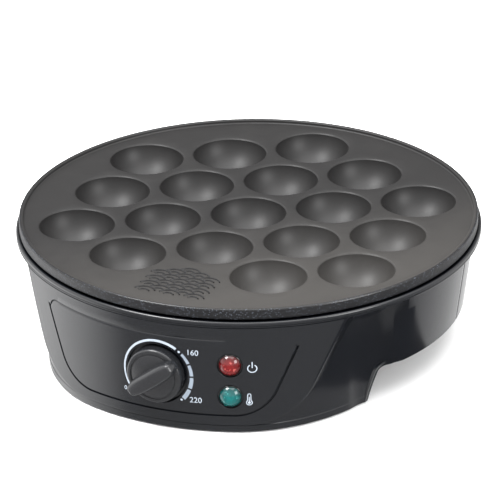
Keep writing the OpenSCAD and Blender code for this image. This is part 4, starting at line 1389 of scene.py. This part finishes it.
@dataclass
class Knob:
    """Turned disc with a bar grip across it.

    Sizes are in millimetres. bar_blunt says how square the bar's ends are, and bar_droop how
    much lower than its middle the bar is near them.
    """

    z: float
    rest: float = 143.0
    r: float = 16.6
    back: float = 136.0
    face: float = 143.0
    front: float = 150.4
    bar_l: float = 34.6
    bar_w: float = 10.6
    bar_blunt: float = 3.8
    bar_droop: float = 0.16
    hub_r: float = 9.2
    hub: float = 139.2
    bore_r: float = 3.1

    def build(self) -> None:
        """Makes the knob's piece."""
        form = self._disc().join(self._bar())
        turn = math.radians(self.rest)
        cos, sin = math.cos(turn), math.sin(turn)

        def turned(p: np.ndarray) -> np.ndarray:
            """Turns the knob to its place at rest."""
            x, y, z = p[:, 0], p[:, 1], p[:, 2]
            return np.stack([cos * x + sin * z, y, self.z - sin * x + cos * z], axis=1)

        make_piece(
            "knob_grip", form.moved(turned), KNOB_PLASTIC.make(), Body.KNOB,
            ("control_knob",), 40.0,
        )

    def _disc(self) -> Form:
        """Makes the disc with a raised ring near its edge, open behind for the nut."""
        r, face = self.r, self.face
        profile = [(0.02, face - 1.2), (self.bore_r, face - 1.2), (self.bore_r, self.hub),
                   (self.hub_r, self.hub), (self.hub_r, self.back), (r - 0.3, self.back),
                   (r, self.back + 0.3)]
        profile += round_corner((r - 1.3, face - 1.3), 1.3, 0, 90, 7)
        profile += [(r - 2.35, face), (r - 2.5, face - 0.5), (r - 2.85, face - 0.62)]
        profile += [(r - 3.3, face - 0.5), (r - 3.45, face - 0.12), (r - 3.7, face)]
        profile += [(0.02, face + 0.3)]
        form = Form()
        form.turned(profile, 120, closed=True)
        return form.moved(lambda p: np.stack([p[:, 0], -p[:, 2], p[:, 1]], axis=1))

    def _bar(self) -> Form:
        """Makes the bar grip: full in the middle, low and round at its ends."""
        reach, base = self.bar_l / 2, self.face - 0.8
        rows = []
        for u in np.sin(np.radians(np.linspace(-90, 90, 45))):
            full = max(1 - abs(u) ** self.bar_blunt, 0.0004)
            width = self.bar_w / 2 * full**0.42
            level = (self.front - base) * (1 - self.bar_droop * u * u)
            height = level * min(1.0, (full / 0.32) ** 0.5)
            row = []
            for t in np.radians(np.linspace(0, 180, 23)):
                across = math.copysign(abs(math.cos(t)) ** 0.5, math.cos(t))
                row.append((u * reach, -(base + height * math.sin(t) ** 0.6), width * across))
            rows.append(row)
        form = Form()
        form.grid(rows, wrap_columns=True)
        for row in (rows[0], rows[-1]):
            form.add(row, [tuple(range(len(row)))])
        return form


@dataclass
class Lamp:
    """Domed lens of a pilot lamp, on its seat in the front panel."""

    name: str
    node: str
    panel: FrontPanel
    height: float
    slot: Slot
    deep: tuple[float, float, float]
    clear: tuple[float, float, float]
    glint: tuple[float, float, float]
    r: float = 6.8
    dome_r: float = 6.25
    dome: float = 3.4
    barrel_r: float = 5.2
    bore_r: float = 3.7
    barrel_l: float = 7.5

    def build(self) -> None:
        """Makes the lens's piece."""
        ball = (self.dome_r**2 + self.dome**2) / (2 * self.dome)
        half = math.degrees(math.asin(self.dome_r / ball))
        profile = [(0.02, -1.0), (self.bore_r, -1.0), (self.bore_r, -self.barrel_l),
                   (self.barrel_r, -self.barrel_l), (self.barrel_r, 0), (self.r - 0.2, 0),
                   (self.r, 0.2), (self.r, 0.9), (self.r - 0.15, 1.05), (self.dome_r + 0.2, 1.05),
                   (self.dome_r + 0.1, 0.7)]
        profile += round_corner((0, 1 + self.dome - ball), ball, 90 - half, 89.9, 14)
        form = Form()
        form.turned(profile, 64, closed=True)
        turn, seat = math.radians(self.panel.lamp_angle), self.panel.seat
        cos, sin = math.cos(turn), math.sin(turn)

        def placed(p: np.ndarray) -> np.ndarray:
            """Stands the lens on its seat in the panel."""
            out, side = seat + p[:, 2], p[:, 0]
            x, y = out * sin + side * cos, -out * cos + side * sin
            return np.stack([x, y, self.height + p[:, 1]], axis=1)

        # centre of the painted glow, painted glints and painted seat shade, 2 mm out along the
        # lens's axis
        out = seat + 2.0
        centre = (out * sin * MM, (AXIS_Y - out * cos) * MM, self.height * MM)
        finish = LampPlastic(self.name, self.deep, self.clear, self.glint, centre)
        shape, nodes = form.moved(placed), (self.node,)
        make_piece(self.name, shape, finish.make(), Body.BASE, nodes)


@dataclass
class DialPrint:
    """Raised print round the knob and beside the lamps.

    Sizes are in millimetres, and angles in degrees from +X, anticlockwise as seen from the
    front. A dot has its angle, its distance from the knob's axis and its radius, and a numeral
    its text, its place and its size. The pens are the widths of the lines of the two signs.
    """

    panel: FrontPanel
    r: float = 20.7
    line_w: tuple[float, float] = (0.9, 1.6)
    line: tuple[float, float] = (213.0, 55.5)
    marks: tuple[float, float] = (43.5, -44.0)
    mark_w: tuple[float, float] = (1.5, 2.6)
    mark_count: int = 4
    mark_gap: float = 3.0
    dots: tuple[tuple[float, float, float], ...] = ((49.0, 20.7, 0.75), (-45.0, 20.5, 0.65))
    numerals: tuple[tuple[str, float, float, float], ...] = (
        ("0", -20.2, 20.8, 3.6), ("160", 21.7, 50.0, 4.8), ("220", 23.1, 20.1, 4.8))
    power_at: tuple[float, float] = (54.4, 41.6)
    power_r: float = 2.4
    power_pen: float = 0.55
    heat_at: tuple[float, float] = (52.6, 22.0)
    bulb_at: float = -2.0
    bulb_r: float = 1.52
    stem_r: float = 0.85
    heat_pen: float = 0.45
    ring_steps: int = 40

    def build(self) -> None:
        """Makes the print's two pieces."""
        pale, blue = Form(), Form()
        centre = (0.3, self.panel.knob_z)
        self._band(pale, centre, self.line, self.line_w, 80)
        span = (self.marks[1] - self.marks[0]) / self.mark_count
        for i in range(self.mark_count):
            ends = (self.marks[0] + span * i, self.marks[0] + span * (i + 1) + self.mark_gap)
            width = [np.interp(e, self.marks[::-1], self.mark_w[::-1]) for e in ends]
            self._band(blue, centre, ends, width, 16)
        for angle, reach, r in self.dots:
            a = math.radians(angle)
            self._disc(pale, (centre[0] + reach * math.cos(a), centre[1] + reach * math.sin(a)), r)
        for text, x, z, size in self.numerals:
            self._numeral(pale, text, x, z, size)
        self._power(pale, self.power_at)
        self._thermometer(pale, self.heat_at)
        for name, form, finish in (("dial_print", pale, PRINT_PALE),
                                   ("dial_marks", blue, PRINT_BLUE)):
            laid = form.moved(self.panel.wrapped)
            make_piece(name, laid, finish.make(), Body.BASE)

    @staticmethod
    def _strip(form: Form, inner: Any, outer: Any) -> None:
        """Adds a flat strip between two lines of (x, z) points, as a closed form."""
        inner, outer = np.asarray(inner), np.asarray(outer)
        rows = [np.column_stack([line, np.full(len(line), level)])
                for line, level in ((inner, -1.0), (inner, 1.0), (outer, 1.0), (outer, -1.0))]
        form.grid(rows, wrap_rows=True)
        for i in (0, -1):
            form.add([row[i] for row in rows], [(0, 1, 2, 3)])

    def _band(self, form: Form, centre: Any, ends: Any, widths: Any, steps: int) -> None:
        """Adds an arc round a centre whose width goes from one value to another."""
        a = np.radians(np.linspace(ends[0], ends[1], steps + 1))
        w = np.linspace(widths[0], widths[1], steps + 1) / 2
        way = np.stack([np.cos(a), np.sin(a)], axis=1)
        lines = [np.asarray(centre) + way * (self.r + s * w)[:, None] for s in (-1, 1)]
        self._strip(form, *lines)

    def _disc(self, form: Form, centre: tuple[float, float], r: float) -> None:
        """Adds a small flat disc."""
        ring = np.array(round_corner(centre, r, 0, 345, 23))
        rows = [np.column_stack([ring, np.full(24, level)]) for level in (-1.0, 1.0)]
        form.grid(rows, wrap_columns=True)
        for row in rows:
            form.add(row, [tuple(range(24))])

    def _stroke(self, form: Form, path: Sequence[tuple[float, float]], width: float) -> None:
        """Adds a line of even width along a path."""
        path = np.array(path, float)
        along = np.gradient(path, axis=0)
        along /= np.linalg.norm(along, axis=1)[:, None]
        side = np.stack([-along[:, 1], along[:, 0]], axis=1) * width / 2
        self._strip(form, path - side, path + side)

    def _numeral(self, form: Form, text: str, x: float, z: float, size: float) -> None:
        """Adds a plain numeral centred on a point."""
        curve = bpy.data.curves.new("numeral", "FONT")
        curve.body, curve.size = text, size
        curve.align_x, curve.align_y = "CENTER", "CENTER"
        curve.extrude, curve.resolution_u = 1.0, 5
        obj = bpy.data.objects.new("numeral", curve)
        bpy.context.scene.collection.objects.link(obj)
        graph = bpy.context.evaluated_depsgraph_get()
        mesh = bpy.data.meshes.new_from_object(obj.evaluated_get(graph))
        points = [(v.co.x + x, v.co.y + z, v.co.z) for v in mesh.vertices]
        form.add(points, [tuple(p.vertices) for p in mesh.polygons])
        bpy.data.objects.remove(obj)
        bpy.data.curves.remove(curve)
        bpy.data.meshes.remove(mesh)

    def _power(self, form: Form, centre: tuple[float, float]) -> None:
        """Adds the open ring with a line that marks the power lamp."""
        ring = round_corner(centre, self.power_r, 122, 418, self.ring_steps)
        self._stroke(form, ring, self.power_pen)
        x, z = centre
        self._stroke(form, [(x, z + 0.3), (x, z + 2.2), (x, z + 4.1)], self.power_pen)

    def _thermometer(self, form: Form, centre: tuple[float, float]) -> None:
        """Adds the outline of a thermometer that marks the heat lamp."""
        x, z = centre
        foot, bulb = z - 0.75, (x, z + self.bulb_at)
        stem = [(x - self.stem_r, foot)] + round_corner((x, z + 2.7), self.stem_r, 180, 0, 12)
        self._stroke(form, stem + [(x + self.stem_r, foot)], self.heat_pen)
        ring = round_corner(bulb, self.bulb_r, 124, 416, self.ring_steps)
        self._stroke(form, ring, self.heat_pen)
        self._disc(form, bulb, 0.75)
        self._stroke(form, [bulb, (x, z - 0.4), (x, z + 1.6)], 0.4)


# ---- Carried CAD nodes ----


@dataclass
class CarriedNodes:
    """CAD nodes whose shape stays, with their own finishes."""

    finishes: dict[str, Finish] = field(default_factory=lambda: dict(CARRIED))

    def dress(self, nodes: dict[str, Any]) -> None:
        """Gives each carried node its finish."""
        for name, finish in self.finishes.items():
            mesh = nodes[name].data
            mesh.materials.clear()
            mesh.materials.append(finish.make())
            LOG.info("%s: finished with %s", name, finish.name)


# ---- Studio ----


@dataclass(frozen=True)
class SoftLight:
    """A rectangular light that faces the object.

    Attributes:
        name: name of the light.
        place: where it stands, in metres.
        size: its two sides in metres.
        watts: its power.
    """

    name: str
    place: tuple[float, float, float]
    size: tuple[float, float]
    watts: float


@dataclass
class Studio:
    """Pale floor, soft lights and the camera at the photograph's angle.

    The card is a dark sheet at the right, which only reflections show, standing in for the shade
    there as a painted reflection: lowest x, lowest y, highest x and highest y in metres. The
    fields that start with low and high are strengths of the surroundings below and above the
    horizon, with what their left, their rear and the part above the back add or take.
    """

    focal_px: float = 4029.2
    frame_px: float = 500.0
    distance_mm: float = 2386.87
    elevation: float = 24.58
    azimuth: float = 22.97
    roll: float = -1.05
    aim_x: float = 0.00039
    aim_y: float = -0.01016
    aim_at: tuple[float, float, float] = (0.0, 5.0, 77.5)
    floor_reach: float = 6.0
    card: tuple[float, float, float, float] = (0.128, -0.13, 0.222, 0.0)
    card_z: float = -0.001
    low_level: float = 0.72
    low_left: float = 2.3
    low_rear: float = 0.6
    high_level: float = 1.7
    high_left: float = 0.9
    high_loss: float = 1.4
    light_aim_z: float = 0.04
    lights: tuple[SoftLight, ...] = (
        SoftLight("light_overhead", (0.0, 0.0, 1.9), (2.6, 2.0), 60.0),
        SoftLight("light_key", (-0.78, -0.88, 1.85), (0.8, 0.8), 48.0),
        SoftLight("light_right", (1.5, -0.5, 0.7), (0.7, 0.7), 16.0),
    )

    def build(self) -> None:
        """Makes the floor, lights, world and camera."""
        self._floor()
        self._world()
        self._lights()
        self._camera()
        scene = bpy.context.scene
        scene.view_settings.view_transform = "Standard"
        scene.view_settings.look = "None"

    def _floor(self) -> None:
        """Makes the pale floor, and a dark card that only reflections show, as painted shade."""
        reach = self.floor_reach
        floor = self._sheet("floor", (-reach, -reach, reach, reach), 0.0, (0.86, 0.86, 0.86))
        floor.visible_glossy = False
        # painted shade: a near-black sheet just under the floor at the right, seen only in
        # reflections, standing in for the shade there
        card = self._sheet("dark_card", self.card, self.card_z, (0.01, 0.01, 0.011))
        card.visible_camera = card.visible_diffuse = card.visible_shadow = False

    @staticmethod
    def _sheet(
        name: str, box: Sequence[float], z: float, colour: tuple[float, float, float]
    ) -> Any:
        """Makes a flat sheet of the stage.

        Args:
            name: name of the sheet.
            box: lowest x, lowest y, highest x and highest y in metres.
            z: its height.
            colour: its linear colour.

        Returns:
            The object.
        """
        left, near, right, far = box
        mesh = bpy.data.meshes.new(name)
        mesh.from_pydata([(left, near, z), (right, near, z), (right, far, z), (left, far, z)],
                         [], [(0, 1, 2, 3)])
        mesh.materials.append(Finish(f"{name}_paint", colour, 0.6, uneven=0.01).make())
        sheet = bpy.data.objects.new(name, mesh)
        bpy.context.scene.collection.objects.link(sheet)
        return sheet

    def _world(self) -> None:
        """Makes the pale surroundings: brighter on the left, and dimmer above the back."""
        world = bpy.data.worlds.new("studio")
        bpy.context.scene.world = world
        world.use_nodes = True
        network = Network(world.node_tree)
        way = network.node("ShaderNodeTexCoord", {}, {})
        x, y, z = network.split(Wire(network, way.outputs["Generated"]))

        def towards(way: Sequence[float], start: float, slope: float) -> Wire:
            """Returns how far the view leans towards a way past a start, from 0 to 1."""
            lean = x * way[0] + y * way[1] + z * way[2]
            return ((lean - start) * slope).limited()

        left = towards((-0.90, -0.12, -0.42), 0.80, 5.2)
        left_above = towards((-1, 0, 0), 0.45, 2)
        behind = towards((-0.36, 0.84, 0), 0.35, 2)
        above = towards((0, 0, 1), -0.0625, 8)
        rear = towards((0, 1, 0), 0.2, 2)
        below = self.low_level + self.low_left * left + self.low_rear * rear
        high = self.high_level + self.high_left * left_above - self.high_loss * behind
        strength = below + above * (high - below)
        surface = network.node("ShaderNodeBackground", {}, {0: (1, 1, 1, 1), 1: strength})
        network.node("ShaderNodeOutputWorld", {}, {0: Wire(network, surface.outputs[0])})

    def _lights(self) -> None:
        """Makes the soft lights."""
        for light in self.lights:
            lamp = bpy.data.lights.new(light.name, "AREA")
            lamp.shape, lamp.energy = "RECTANGLE", light.watts
            lamp.size, lamp.size_y = light.size
            obj = bpy.data.objects.new(light.name, lamp)
            bpy.context.scene.collection.objects.link(obj)
            obj.location = light.place
            aim = Vector((0, 0, self.light_aim_z)) - Vector(light.place)
            obj.rotation_mode = "QUATERNION"
            obj.rotation_quaternion = aim.to_track_quat("-Z", "Y")

    def _camera(self) -> None:
        """Makes the camera."""
        el, az, roll = map(math.radians, (self.elevation, self.azimuth, self.roll))
        flat = Vector((-math.sin(az), math.cos(az), 0))
        right = Vector((math.cos(az), math.sin(az), 0))
        ahead = flat * math.cos(el) - Vector((0, 0, math.sin(el)))
        up = right.cross(ahead)
        r = right * math.cos(roll) + up * math.sin(roll)
        u = up * math.cos(roll) - right * math.sin(roll)
        place = Vector(self.aim_at) * MM - ahead * self.distance_mm * MM
        ahead = (ahead + r * self.aim_x + u * self.aim_y).normalized()
        r = (r - ahead * r.dot(ahead)).normalized()
        u = r.cross(ahead)
        data = bpy.data.cameras.new("camera")
        data.sensor_width = 36.0
        data.lens = self.focal_px / self.frame_px * data.sensor_width
        camera = bpy.data.objects.new("camera", data)
        bpy.context.scene.collection.objects.link(camera)
        camera.matrix_world = Matrix(
            (
                (r.x, u.x, -ahead.x, place.x),
                (r.y, u.y, -ahead.y, place.y),
                (r.z, u.z, -ahead.z, place.z),
                (0, 0, 0, 1),
            )
        )
        data.clip_start, data.clip_end = 0.05, 50.0
        bpy.context.scene.camera = camera


def main() -> None:
    """Builds every class in order."""
    logging.basicConfig(level=logging.INFO, format="%(message)s")
    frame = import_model()
    housing = Housing()
    housing.build()
    CookingPlate().build(Repeater())
    panel = housing.panel
    Knob(panel.knob_z).build()
    power_height, ready_height = panel.lamp_heights
    # each lens takes its painted edge shade, painted middle glow and painted glint colours, in
    # that order
    Lamp("power_lens", "power_lamp_lens", panel, power_height, Slot.RED,
         (0.018, 0.0004, 0.0008), (0.13, 0.0025, 0.003), (1.0, 0.30, 0.26)).build()
    Lamp("ready_lens", "ready_lamp_lens", panel, ready_height, Slot.TEAL,
         (0.0, 0.011, 0.012), (0.0, 0.095, 0.092), (0.30, 1.0, 0.95)).build()
    DialPrint(panel).build()
    CarriedNodes().dress(frame["nodes"])
    Studio().build()


if __name__ == "__main__":
    main()
